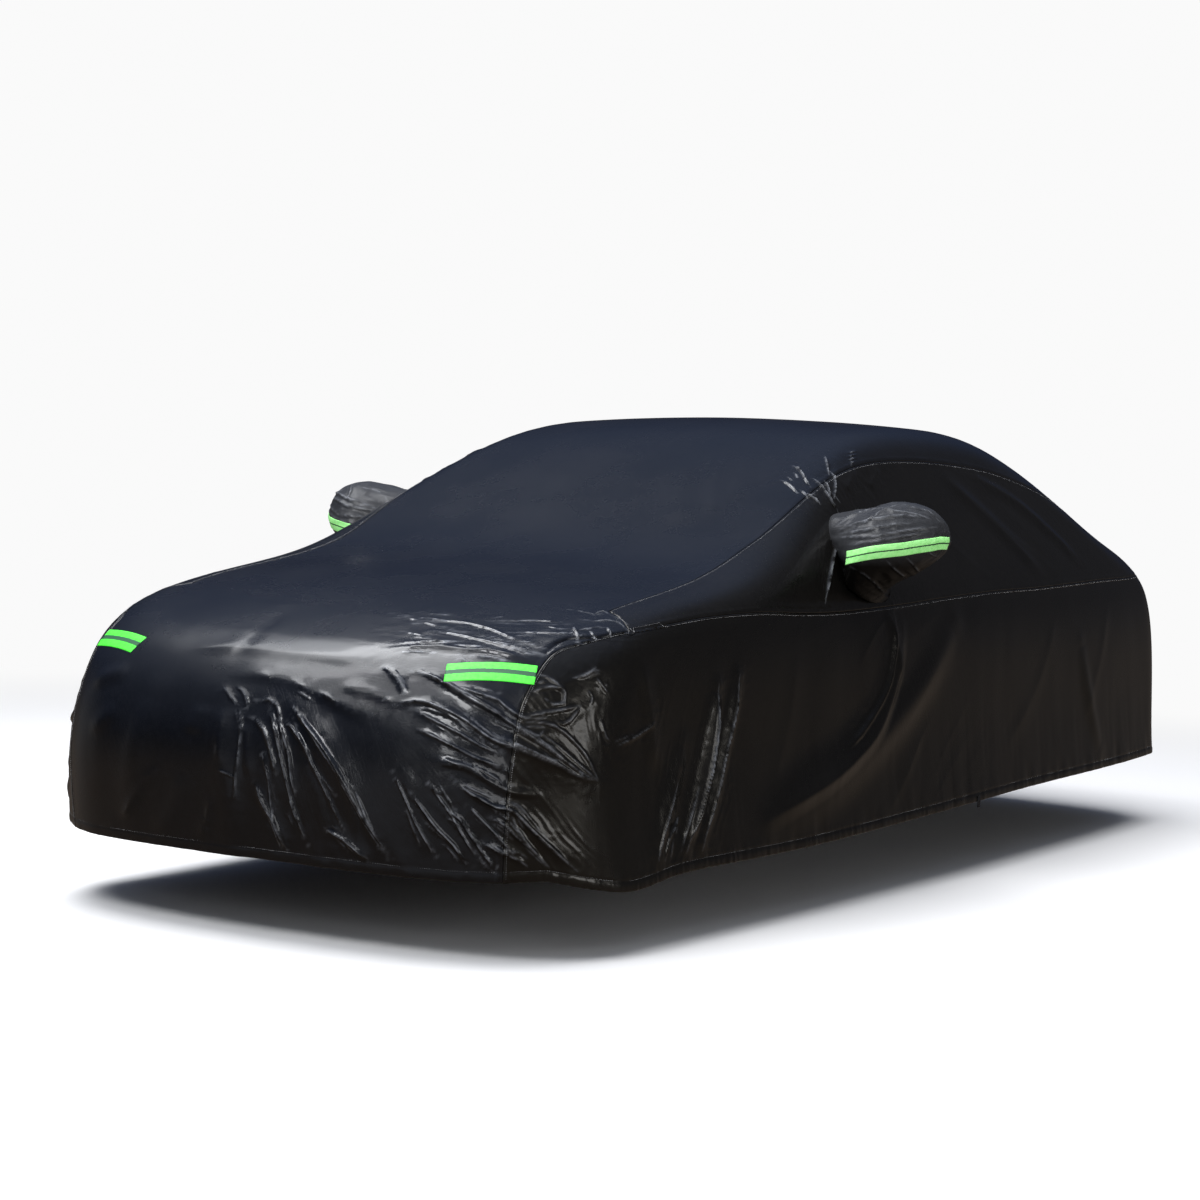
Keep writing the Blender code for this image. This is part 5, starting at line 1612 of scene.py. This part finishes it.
def strip_mesh(name, grid, n, left, wide):
    """A strip with its folded long edges, from a grid (along, across)."""
    down = np.concatenate([grid[:, :1] - n[:, :1] * 0.0016, grid, grid[:, -1:] - n[:, -1:] * 0.0016], axis=1)
    ends = np.concatenate([down[:1] - np.pad(n, ((0, 0), (1, 1), (0, 0)), mode="edge")[:1] * 0.0014, down,
                           down[-1:] - np.pad(n, ((0, 0), (1, 1), (0, 0)), mode="edge")[-1:] * 0.0014])
    m, k = ends.shape[:2]
    u = np.concatenate([[0], lengths(grid, 0).mean(1), [lengths(grid, 0)[-1].mean()]])
    v = np.concatenate([[0], np.linspace(0, wide, grid.shape[1]), [wide]])
    uv = np.stack(np.broadcast_arrays(u[:, None], v[None]), -1).reshape(-1, 2)
    quads = grid_quads(m, k, False)
    q = ends.reshape(-1, 3)[quads[(m // 2) * (k - 1) + k // 2]]
    if np.cross(q[1] - q[0], q[2] - q[0]) @ n[m // 2, k // 2] < 0:
        quads = quads[:, ::-1]
    pts = ends.reshape(-1, 3)
    if not left:
        pts, quads = flip(pts), quads[:, ::-1]
    return make_mesh(name, pts, quads, uv=uv)


def nose_strip_frame(left):
    out, tall = NOSE_STRIP_AT["left" if left else "right"]
    middle = settle(np.array([[2.08, out, tall]]))[0]
    n = outward(middle[None])[1]
    run = np.array([-n[0, 1], n[0, 0], 0.0])
    run /= np.linalg.norm(run)
    run[2] = NOSE_STRIP["rise"]
    up = np.cross(n[0], run)
    up *= np.sign(up[2]) / np.linalg.norm(up)
    return middle, run, up


STRIP_FRAMES = {side: nose_strip_frame(side == "left") for side in ("left", "right")}


def under_strips(p):
    """1 under the reflective strips on the nose, 0 away from them."""
    out = np.zeros(len(p))
    for side, (middle, run, up) in STRIP_FRAMES.items():
        q = p if side == "left" else flip(p)
        a = (q - middle) @ (run / np.linalg.norm(run))
        b = (q - middle) @ up
        da = np.clip((np.abs(a) - NOSE_STRIP["long"] / 2) / 0.014, 0, 1)
        db = np.clip((np.abs(b) - NOSE_STRIP["wide"] / 2) / 0.010, 0, 1)
        near = np.linalg.norm(q - middle, axis=-1) < 0.25
        out = np.maximum(out, near * (1 - np.maximum(da, db)) ** 1.5)
    return out


def nose_strip(left):
    side = "left" if left else "right"
    middle, run, up = STRIP_FRAMES[side]
    across = np.linspace(-0.5, 0.5, 64) * NOSE_STRIP["long"]
    high = np.linspace(-0.5, 0.5, 19) * NOSE_STRIP["wide"]
    # its ends are cut a little askew and its long edges bow a little
    bow = 0.0016 * np.cos(across / NOSE_STRIP["long"] * math.pi * 1.3 + (0.4 if left else 1.3))
    grid = middle + across[:, None, None] * run + (high[None, :] + bow[:, None])[..., None] * up
    grid = settle(grid + 0.012 * high[None, :, None] * run)
    n = outward(grid)[1]
    base = grid if left else flip(grid)
    base_n = n if left else flip(n)
    tall, _act = height(base, base_n)
    for _ in range(4):
        tall[1:-1] = 0.5 * tall[1:-1] + 0.25 * (tall[:-2] + tall[2:])
    return grid + n * (tall + 0.0026)[..., None], n


# ------------------------------------------------------------ threads
def stitches(name, lines, long, pitch, wide, seed):
    """Small raised stitches along lines of points with normals."""
    points, faces = [], []
    rng = np.random.default_rng(seed)
    for line, n in lines:
        size = np.linalg.norm(np.diff(line, axis=0), axis=1)
        at = np.concatenate([[0], np.cumsum(size)])
        count = int(at[-1] / pitch)
        mids = (np.arange(count) + 0.5) * pitch
        mids = mids + rng.uniform(-0.12, 0.12, count) * pitch
        a = np.stack([np.interp(mids - long / 2, at, line[:, k]) for k in range(3)], 1)
        b = np.stack([np.interp(mids + long / 2, at, line[:, k]) for k in range(3)], 1)
        m = np.stack([np.interp(mids, at, n[:, k]) for k in range(3)], 1)
        m /= np.linalg.norm(m, axis=1, keepdims=True)
        side = np.cross(m, b - a)
        side /= np.maximum(np.linalg.norm(side, axis=1, keepdims=True), 1e-9)
        tall = wide * 0.55
        for p, q, up, s in zip(a, b, m, side):
            k = len(points)
            c = (p + q) / 2
            s, t = s * wide / 2, up * tall
            low = up * wide * 0.4
            points += [p - low, q - low, c + s - low * 0.3, c - s - low * 0.3, p * 0.7 + q * 0.3 + t, p * 0.3 + q * 0.7 + t]
            faces += [(0 + k, 2 + k, 4 + k), (4 + k, 2 + k, 5 + k), (5 + k, 2 + k, 1 + k),
                      (0 + k, 4 + k, 3 + k), (4 + k, 5 + k, 3 + k), (5 + k, 1 + k, 3 + k), (0 + k, 3 + k, 2 + k), (1 + k, 2 + k, 3 + k)]
    obj = make_mesh(name, np.array(points), np.zeros((0, 4)), np.array(faces))
    print("threads", name, len(faces))
    return obj


def seam_points(base, inward, off, lift):
    """A line beside a seam, on the cloth's outer face."""
    along = np.gradient(base, axis=0)
    n = outward(base)[1]
    m = np.cross(n, along)
    m /= np.linalg.norm(m, axis=1, keepdims=True)
    m *= np.sign((m * (inward - base)).sum(1))[:, None]
    at = settle(base + m * off, 2)
    n = outward(at)[1]
    tall, _act = height(at, n)
    return at + n * (tall + lift)[:, None], n


# ------------------------------------------------------------ materials
def cloth_material(name, dark, light, rough, crinkle=1.0, coat=0.11, spec=0.42, shade=None, tint=(1.0, 1.0, 1.0), coated=0.45, pale=0.60):
    """Thin coated cloth: dark, with a soft gloss, fine crinkles and a weave too
    fine to see but close by."""
    mat = bpy.data.materials.new(name)
    tree = node_tree(mat)
    uv = add(tree, "ShaderNodeUVMap", uv_map="cloth")
    place = uv.outputs["UV"]
    crumple = add(tree, "ShaderNodeAttribute", attribute_name="crumple")
    amount = crumple.outputs["Fac"]
    slow = add(tree, "ShaderNodeTexNoise", {"Vector": place, "Scale": 3.0, "Detail": 5.0, "Roughness": 0.6})
    fine = add(tree, "ShaderNodeTexNoise", {"Vector": place, "Scale": 55.0, "Detail": 4.0, "Roughness": 0.65})
    both = add(tree, "ShaderNodeMath", {0: slow.outputs["Fac"], 1: fine.outputs["Fac"]}, operation="ADD")
    tone = colour_ramp(tree, add(tree, "ShaderNodeMath", {0: both.outputs[0], 1: 0.5}, operation="MULTIPLY").outputs[0],
                       ((0.35, dark), (0.65, light)))
    if shade:
        # painted shade: below the strip the pocket's underside is given a darker colour, where shade falls
        level_z = add(tree, "ShaderNodeVectorMath", {0: add(tree, "ShaderNodeTexCoord").outputs["Object"], 1: shade[0]}, operation="DOT_PRODUCT")
        low = add(tree, "ShaderNodeMapRange", {"Value": level_z.outputs["Value"], "From Min": shade[1], "From Max": shade[2]})
        tone = add(tree, "ShaderNodeMix", {0: low.outputs["Result"], 6: (*shade[3], 1), 7: tone}, data_type="RGBA").outputs[2]
    # painted highlight: the tops of sharp creases are painted pale, partly for the coating's wear there and partly
    # standing in for the highlight along each crease top
    crest = add(tree, "ShaderNodeAttribute", attribute_name="crest")
    patchy = add(tree, "ShaderNodeTexNoise", {"Vector": place, "Scale": 38.0, "Detail": 3.0})
    patchy = add(tree, "ShaderNodeMapRange", {"Value": patchy.outputs["Fac"], "From Min": 0.36, "From Max": 0.60})
    worn_and_highlight = add(tree, "ShaderNodeMath", {0: crest.outputs["Fac"], 1: patchy.outputs["Result"]}, operation="MULTIPLY")
    worn_and_highlight = add(tree, "ShaderNodeMath", {0: worn_and_highlight.outputs[0], 1: pale}, operation="MULTIPLY")
    tone = add(tree, "ShaderNodeMix", {0: worn_and_highlight.outputs[0], 6: tone, 7: (0.40, 0.42, 0.46, 1)}, data_type="RGBA").outputs[2]
    gloss = add(tree, "ShaderNodeMapRange", {"Value": slow.outputs["Fac"], "From Min": 0.3, "From Max": 0.7, "To Min": rough - 0.04, "To Max": rough + 0.05})
    # fine crinkles that follow the cloth's pull, from level to upright
    lay = add(tree, "ShaderNodeUVMap", uv_map="front")
    normal = None
    for k, turn in enumerate((7, 34, 48, 72)):
        ways = add(tree, "ShaderNodeAttribute", attribute_name="streak_%d" % k)
        turned = add(tree, "ShaderNodeMapping", {"Vector": lay.outputs["UV"], "Rotation": (0, 0, -math.radians(turn)), "Scale": (1.0, 1.0, 1.0)})
        long = add(tree, "ShaderNodeMapping", {"Vector": turned.outputs["Vector"], "Scale": (3.0, 22.0, 1.0)})
        noise_node = add(tree, "ShaderNodeTexNoise", {"Vector": long.outputs["Vector"], "Scale": 1.0, "Detail": 3.0, "Roughness": 0.6, "Distortion": 0.6})
        crest = add(tree, "ShaderNodeMath", {0: add(tree, "ShaderNodeMath", {0: noise_node.outputs["Fac"], 1: 0.5}, operation="SUBTRACT").outputs[0]}, operation="ABSOLUTE")
        amount_k = add(tree, "ShaderNodeMath", {0: ways.outputs["Fac"], 1: 0.17 * crinkle}, operation="MULTIPLY")
        bump = add(tree, "ShaderNodeBump", {"Height": crest.outputs[0], "Strength": amount_k.outputs[0], "Distance": 0.010}, invert=True)
        if normal is not None:
            tree.links.new(normal, bump.inputs["Normal"])
        normal = bump.outputs["Normal"]
    # and small ones in every direction
    stretch = add(tree, "ShaderNodeMapping", {"Vector": place, "Scale": (70.0, 42.0, 1.0), "Rotation": (0, 0, 0.6)})
    wide = add(tree, "ShaderNodeTexNoise", {"Vector": stretch.outputs["Vector"], "Scale": 1.0, "Detail": 3.0, "Roughness": 0.55, "Distortion": 0.8})
    ridge = add(tree, "ShaderNodeMath", {0: add(tree, "ShaderNodeMath", {0: wide.outputs["Fac"], 1: 0.5}, operation="SUBTRACT").outputs[0]}, operation="ABSOLUTE")
    level = add(tree, "ShaderNodeMapRange", {"Value": amount, "From Min": 0.0, "From Max": 1.0, "To Min": 0.008 * crinkle, "To Max": 0.20 * crinkle})
    bump2 = add(tree, "ShaderNodeBump", {"Height": ridge.outputs[0], "Strength": level.outputs["Result"], "Distance": 0.0030, "Normal": normal}, invert=True)
    weave_at = add(tree, "ShaderNodeMapping", {"Vector": place, "Scale": (1700.0, 1700.0, 1.0)})
    weave = add(tree, "ShaderNodeTexChecker", {"Vector": weave_at.outputs["Vector"], "Scale": 1.0})
    bump3 = add(tree, "ShaderNodeBump", {"Height": weave.outputs["Fac"], "Strength": 0.015, "Distance": 0.0001, "Normal": bump2.outputs["Normal"]})
    shader = add(tree, "ShaderNodeBsdfPrincipled", {
        "Base Color": tone, "Roughness": gloss.outputs["Result"], "Normal": bump3.outputs["Normal"],
        "IOR": 1.45, "Specular IOR Level": spec, "Specular Tint": (*tint, 1), "Coat Weight": coated, "Coat Roughness": coat, "Coat IOR": 1.5,
    })
    add(tree, "ShaderNodeOutputMaterial", {"Surface": shader.outputs[0]})
    return mat


def strip_material(name, green, shade, line, line_at, line_wide, glow):
    """Reflective strip: bright green with a thin dark line along it, and a painted glow that stands in for its bright
    reflective face.
    """
    mat = bpy.data.materials.new(name)
    tree = node_tree(mat)
    uv = add(tree, "ShaderNodeUVMap", uv_map="cloth")
    split = add(tree, "ShaderNodeSeparateXYZ", {"Vector": uv.outputs["UV"]})
    fine = add(tree, "ShaderNodeTexNoise", {"Vector": uv.outputs["UV"], "Scale": 90.0, "Detail": 3.0})
    base = colour_ramp(tree, fine.outputs["Fac"], ((0.3, shade), (0.6, green)))
    away = add(tree, "ShaderNodeMath", {0: split.outputs["Y"], 1: line_at}, operation="SUBTRACT")
    away = add(tree, "ShaderNodeMath", {0: away.outputs[0]}, operation="ABSOLUTE")
    rough = add(tree, "ShaderNodeTexNoise", {"Vector": uv.outputs["UV"], "Scale": 160.0, "Detail": 2.0})
    edge = add(tree, "ShaderNodeMath", {0: rough.outputs["Fac"], 1: 0.0035}, operation="MULTIPLY")
    away = add(tree, "ShaderNodeMath", {0: away.outputs[0], 1: edge.outputs[0]}, operation="ADD")
    band = add(tree, "ShaderNodeMapRange", {"Value": away.outputs[0], "From Min": line_wide / 2 + 0.0008, "From Max": line_wide / 2 + 0.0022, "To Min": 1.0, "To Max": 0.0})
    colour = add(tree, "ShaderNodeMix", {0: band.outputs["Result"], 6: base, 7: (*line, 1)}, data_type="RGBA")
    hatch_at = add(tree, "ShaderNodeMapping", {"Vector": uv.outputs["UV"], "Scale": (900.0, 900.0, 1.0), "Rotation": (0, 0, 0.78)})
    hatch = add(tree, "ShaderNodeTexChecker", {"Vector": hatch_at.outputs["Vector"], "Scale": 1.0})
    bump = add(tree, "ShaderNodeBump", {"Height": hatch.outputs["Fac"], "Strength": 0.15, "Distance": 0.0003})
    # painted light: the strip glows by its own emission, standing in for the light its reflective face throws back
    shader = add(tree, "ShaderNodeBsdfPrincipled", {
        "Base Color": colour.outputs[2], "Roughness": 0.45, "Normal": bump.outputs["Normal"],
        "Emission Color": colour.outputs[2], "Emission Strength": glow,
    })
    add(tree, "ShaderNodeOutputMaterial", {"Surface": shader.outputs[0]})
    return mat


def thread_material(name, dark, light):
    mat = bpy.data.materials.new(name)
    tree = node_tree(mat)
    at = add(tree, "ShaderNodeTexCoord")
    fine = add(tree, "ShaderNodeTexNoise", {"Vector": at.outputs["Object"], "Scale": 60.0, "Detail": 2.0})
    tone = colour_ramp(tree, fine.outputs["Fac"], ((0.35, dark), (0.65, light)))
    shader = add(tree, "ShaderNodeBsdfPrincipled", {"Base Color": tone, "Roughness": 0.55})
    add(tree, "ShaderNodeOutputMaterial", {"Surface": shader.outputs[0]})
    return mat


# ------------------------------------------------------------ the cover
made = []


def keep(obj, material, slot=None, replaces=(), sheet=None, with_pieces=()):
    obj.data.materials.append(material)
    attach(obj, "root")
    if slot and slot.startswith("strip"):
        obj.visible_glossy = False
    if replaces:
        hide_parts(*replaces)
    made.append(obj)
    return obj


CLOTH_TOP = cloth_material("cloth_top_coated", (0.0034, 0.0038, 0.0050), (0.0068, 0.0072, 0.0090), 0.27)
# the side panels' copy of the cloth has a warm base and a warm specular tint: a painted reflection of the warm ground
# below, where the top's copy is cooler
CLOTH_SIDE = cloth_material("cloth_side_coated", (0.0040, 0.0037, 0.0034), (0.0076, 0.0070, 0.0062), 0.28, tint=(1.0, 0.93, 0.80), coated=0.36)
# the pocket's base colour, far paler than the other cloth's, is a painted sheen on its lit top; its darker colour below
# the strip is painted shade
POCKET_CLOTH = cloth_material("pocket_coated", (0.0280, 0.0290, 0.0320), (0.0480, 0.0490, 0.0520), 0.36, 1.2, 0.24, 0.22, ((0.0, 0.0, 1.0), -0.445, -0.415, (0.0030, 0.0028, 0.0028)), coated=0.20)
# the strips' last number is the strength of their painted glow
LIME = strip_material("strip_lime_reflective", (0.090, 0.93, 0.060), (0.055, 0.74, 0.040), (0.030, 0.095, 0.048), 0.031, 0.0150, 0.40)
PALE_GREEN = strip_material("strip_pale_reflective", (0.42, 0.98, 0.34), (0.30, 0.84, 0.24), (0.020, 0.060, 0.030), 0.0215, 0.0050, 0.34)
# the threads' light grey is partly their own colour and partly a painted highlight for the light that the seams' edges
# catch
THREAD = thread_material("thread_grey", (0.160, 0.162, 0.168), (0.400, 0.405, 0.415))

centre_grid, nose_rows = centre_sheet()
centre = cloth_sheet("centre_cloth", centre_grid, [(1, False), (1, True)], [(0, False), (0, True)], True,
                     fit=((18, 18, nose_rows + 8), (11, 11, 9999), 194000))

LOWER_LEFT_STATIONS = ((1.672, 0.950, 0.0029), (0.950, -0.200, 0.0050), (-0.200, -1.000, 0.0080), (-1.000, -2.080, 0.0090))
LOWER_RIGHT_STATIONS = ((1.672, 0.950, 0.0046), (0.950, -0.200, 0.0060), (-0.200, -1.000, 0.0080), (-1.000, -2.080, 0.0090))
UPPER_LEFT_STATIONS = ((1.672, 0.800, 0.0080), (0.800, 0.050, 0.0038), (0.050, -2.080, 0.0120))
UPPER_RIGHT_STATIONS = ((1.672, 0.800, 0.0110), (0.800, 0.050, 0.0075), (0.050, -2.080, 0.0170))
lower, upper = {}, {}
for side, stations, rows in (("left", LOWER_LEFT_STATIONS, 232), ("right", LOWER_RIGHT_STATIONS, 168)):
    grid = lower_grid(stations, rows)
    if side == "right":
        grid = flip(grid)
    lower[side] = (grid, cloth_sheet(
        "lower_cloth_" + side, grid, [(0, False), (0, True), (1, False)], [(1, True)], side == "right",
        fit=((11, 11, 9999), (11, 20, 9999), 190000 if side == "left" else 120000)))
for side, stations, rows in (("left", UPPER_LEFT_STATIONS, 110), ("right", UPPER_RIGHT_STATIONS, 66)):
    grid = upper_grid(stations, rows)
    if side == "right":
        grid = flip(grid)
    upper[side] = (grid, cloth_sheet("upper_cloth_" + side, grid, [(0, False), (0, True), (1, False), (1, True)], [], side == "right", hole=mouth_radius))

pockets, strips = {}, {}
for side in ("left", "right"):
    left = side == "left"
    obj, points, angles, part = make_pocket(left)
    grid, n = pocket_strip(left, points, angles, part)
    strip = strip_mesh("pocket_strip_" + side, grid, n, left, POCKET_STRIP)
    pockets[side] = (obj, points, angles)
    strips[side] = strip
    grid, n = nose_strip(left)
    strips["nose_" + side] = strip_mesh("nose_strip_" + side, grid, n, left, NOSE_STRIP["wide"])

# stitching lines
seam_lines, hem_lines = [], []
for side in ("left", "right"):
    g = lower[side][0]
    low = np.array([g[k, 0] for k in range(0, len(g), 2)])
    low_in = np.array([g[k, 5] for k in range(0, len(g), 2)])
    seam_lines.append(seam_points(low, low_in, 0.0075, 0.0004))
    for k, j in ((0, 5), (-1, -6)):
        seam_lines.append(seam_points(g[k, ::2], g[j, ::2], 0.0075, 0.0004))
    u = upper[side][0]
    seam_lines.append(seam_points(u[::2, 0], u[::2, 4], 0.0075, 0.0004))
    hem_lines.append(seam_points(g[::2, -1], g[::2, -7], HEM_BAND + 0.001, -0.0006))
hem_lines.append(seam_points(centre_grid[0, ::2], centre_grid[7, ::2], HEM_BAND + 0.001, -0.0006))
hem_lines.append(seam_points(centre_grid[-1, ::2], centre_grid[-6, ::2], HEM_BAND + 0.001, -0.0006))
seam_thread = stitches("seam_stitches", seam_lines, 0.0046, 0.0056, 0.0019, 5)
hem_thread = stitches("hem_stitches", hem_lines, 0.0044, 0.0060, 0.0014, 6)


def hem_tab():
    """A short loop of ribbed webbing that hangs outside the left hem."""
    low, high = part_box("hem_tab_left")
    x0, x1, z0, z1 = low.x, high.x, low.z, high.z
    y0 = low.y
    wide, tall = 25, 41
    points, n = [], []
    for layer, sign in ((y0 + 0.0022, 1), (y0, -1)):
        for i in range(wide):
            for j in range(tall):
                x = x0 + (x1 - x0) * i / (wide - 1)
                z = z0 + (z1 - z0) * j / (tall - 1)
                edge = min(i, wide - 1 - i, j, tall - 1 - j)
                rib = 0.00022 * math.cos(j * math.pi) + 0.0010 * math.sin(j / tall * 3.0) ** 2
                points.append((x, layer + rib * (0.5 if sign < 0 else 1.0) - sign * 0.0006 * (edge == 0), z))
    quads = []
    count = wide * tall
    for i in range(wide - 1):
        for j in range(tall - 1):
            a, b = i * tall + j, (i + 1) * tall + j
            quads.append((a, a + 1, b + 1, b))
            quads.append((a + count, b + count, b + 1 + count, a + 1 + count))
    rim = [i * tall for i in range(wide)] + [(wide - 1) * tall + j for j in range(1, tall)]
    rim += [i * tall + tall - 1 for i in range(wide - 2, -1, -1)] + [j for j in range(tall - 2, 0, -1)]
    for a, b in zip(rim, rim[1:] + rim[:1]):
        quads.append((a, b, b + count, a + count))
    points = np.array(points) - SHIFT
    uv = np.array([(p[0], p[2]) for p in points])
    quads = np.array(quads)
    q = points[quads[0]]
    if np.cross(q[1] - q[0], q[2] - q[0])[1] < 0:
        quads = quads[:, ::-1]
    return make_mesh("hem_tab", points, quads, uv=uv)


def webbing_material():
    mat = bpy.data.materials.new("webbing_ribbed")
    tree = node_tree(mat)
    uv = add(tree, "ShaderNodeUVMap", uv_map="cloth")
    at = add(tree, "ShaderNodeMapping", {"Vector": uv.outputs["UV"], "Scale": (900.0, 900.0, 1.0)})
    weave = add(tree, "ShaderNodeTexChecker", {"Vector": at.outputs["Vector"], "Scale": 1.0})
    tone = colour_ramp(tree, weave.outputs["Fac"], ((0.0, (0.010, 0.010, 0.011)), (1.0, (0.020, 0.020, 0.022))))
    bump = add(tree, "ShaderNodeBump", {"Height": weave.outputs["Fac"], "Strength": 0.4, "Distance": 0.0003})
    shader = add(tree, "ShaderNodeBsdfPrincipled", {"Base Color": tone, "Roughness": 0.75, "Normal": bump.outputs["Normal"]})
    add(tree, "ShaderNodeOutputMaterial", {"Surface": shader.outputs[0]})
    return mat


tab = hem_tab()

keep(seam_thread, THREAD)
keep(hem_thread, THREAD)
# flat sizes in metres, and the flat area of cuts that aren't rectangles
keep(centre, CLOTH_TOP, "cloth_top", ["centre_panel"], ((1.60, 5.75), 8.3, "draped", ("car_roof",)), [seam_thread, hem_thread])
for side in ("left", "right"):
    keep(lower[side][1], CLOTH_SIDE, "cloth_side", ["side_lower_" + side], ((0.80, 4.90), 3.1, "hung", ("centre_cloth", "upper_cloth_" + side)))
    keep(upper[side][1], CLOTH_SIDE, "cloth_side", ["side_upper_" + side], ((0.45, 4.00), 1.2, "hung", ("centre_cloth",)))
    keep(pockets[side][0], POCKET_CLOTH, "pocket", ["mirror_pocket_" + side], ((0.42, 0.90), 0.27, "gathered", ("upper_cloth_" + side,)))
    keep(strips[side], PALE_GREEN, "strip_pale", ["strip_mirror_" + side], ((POCKET_STRIP, 0.36), None, "laid", ("pocket_" + side,)))
    keep(strips["nose_" + side], LIME, "strip_lime", ["strip_front_" + side], ((NOSE_STRIP["wide"], NOSE_STRIP["long"]), None, "laid", ("centre_cloth",)))
keep(tab, webbing_material(), "webbing", ["hem_tab_left"], ((0.019, 0.036), None, "hung", ("lower_cloth_left",)))
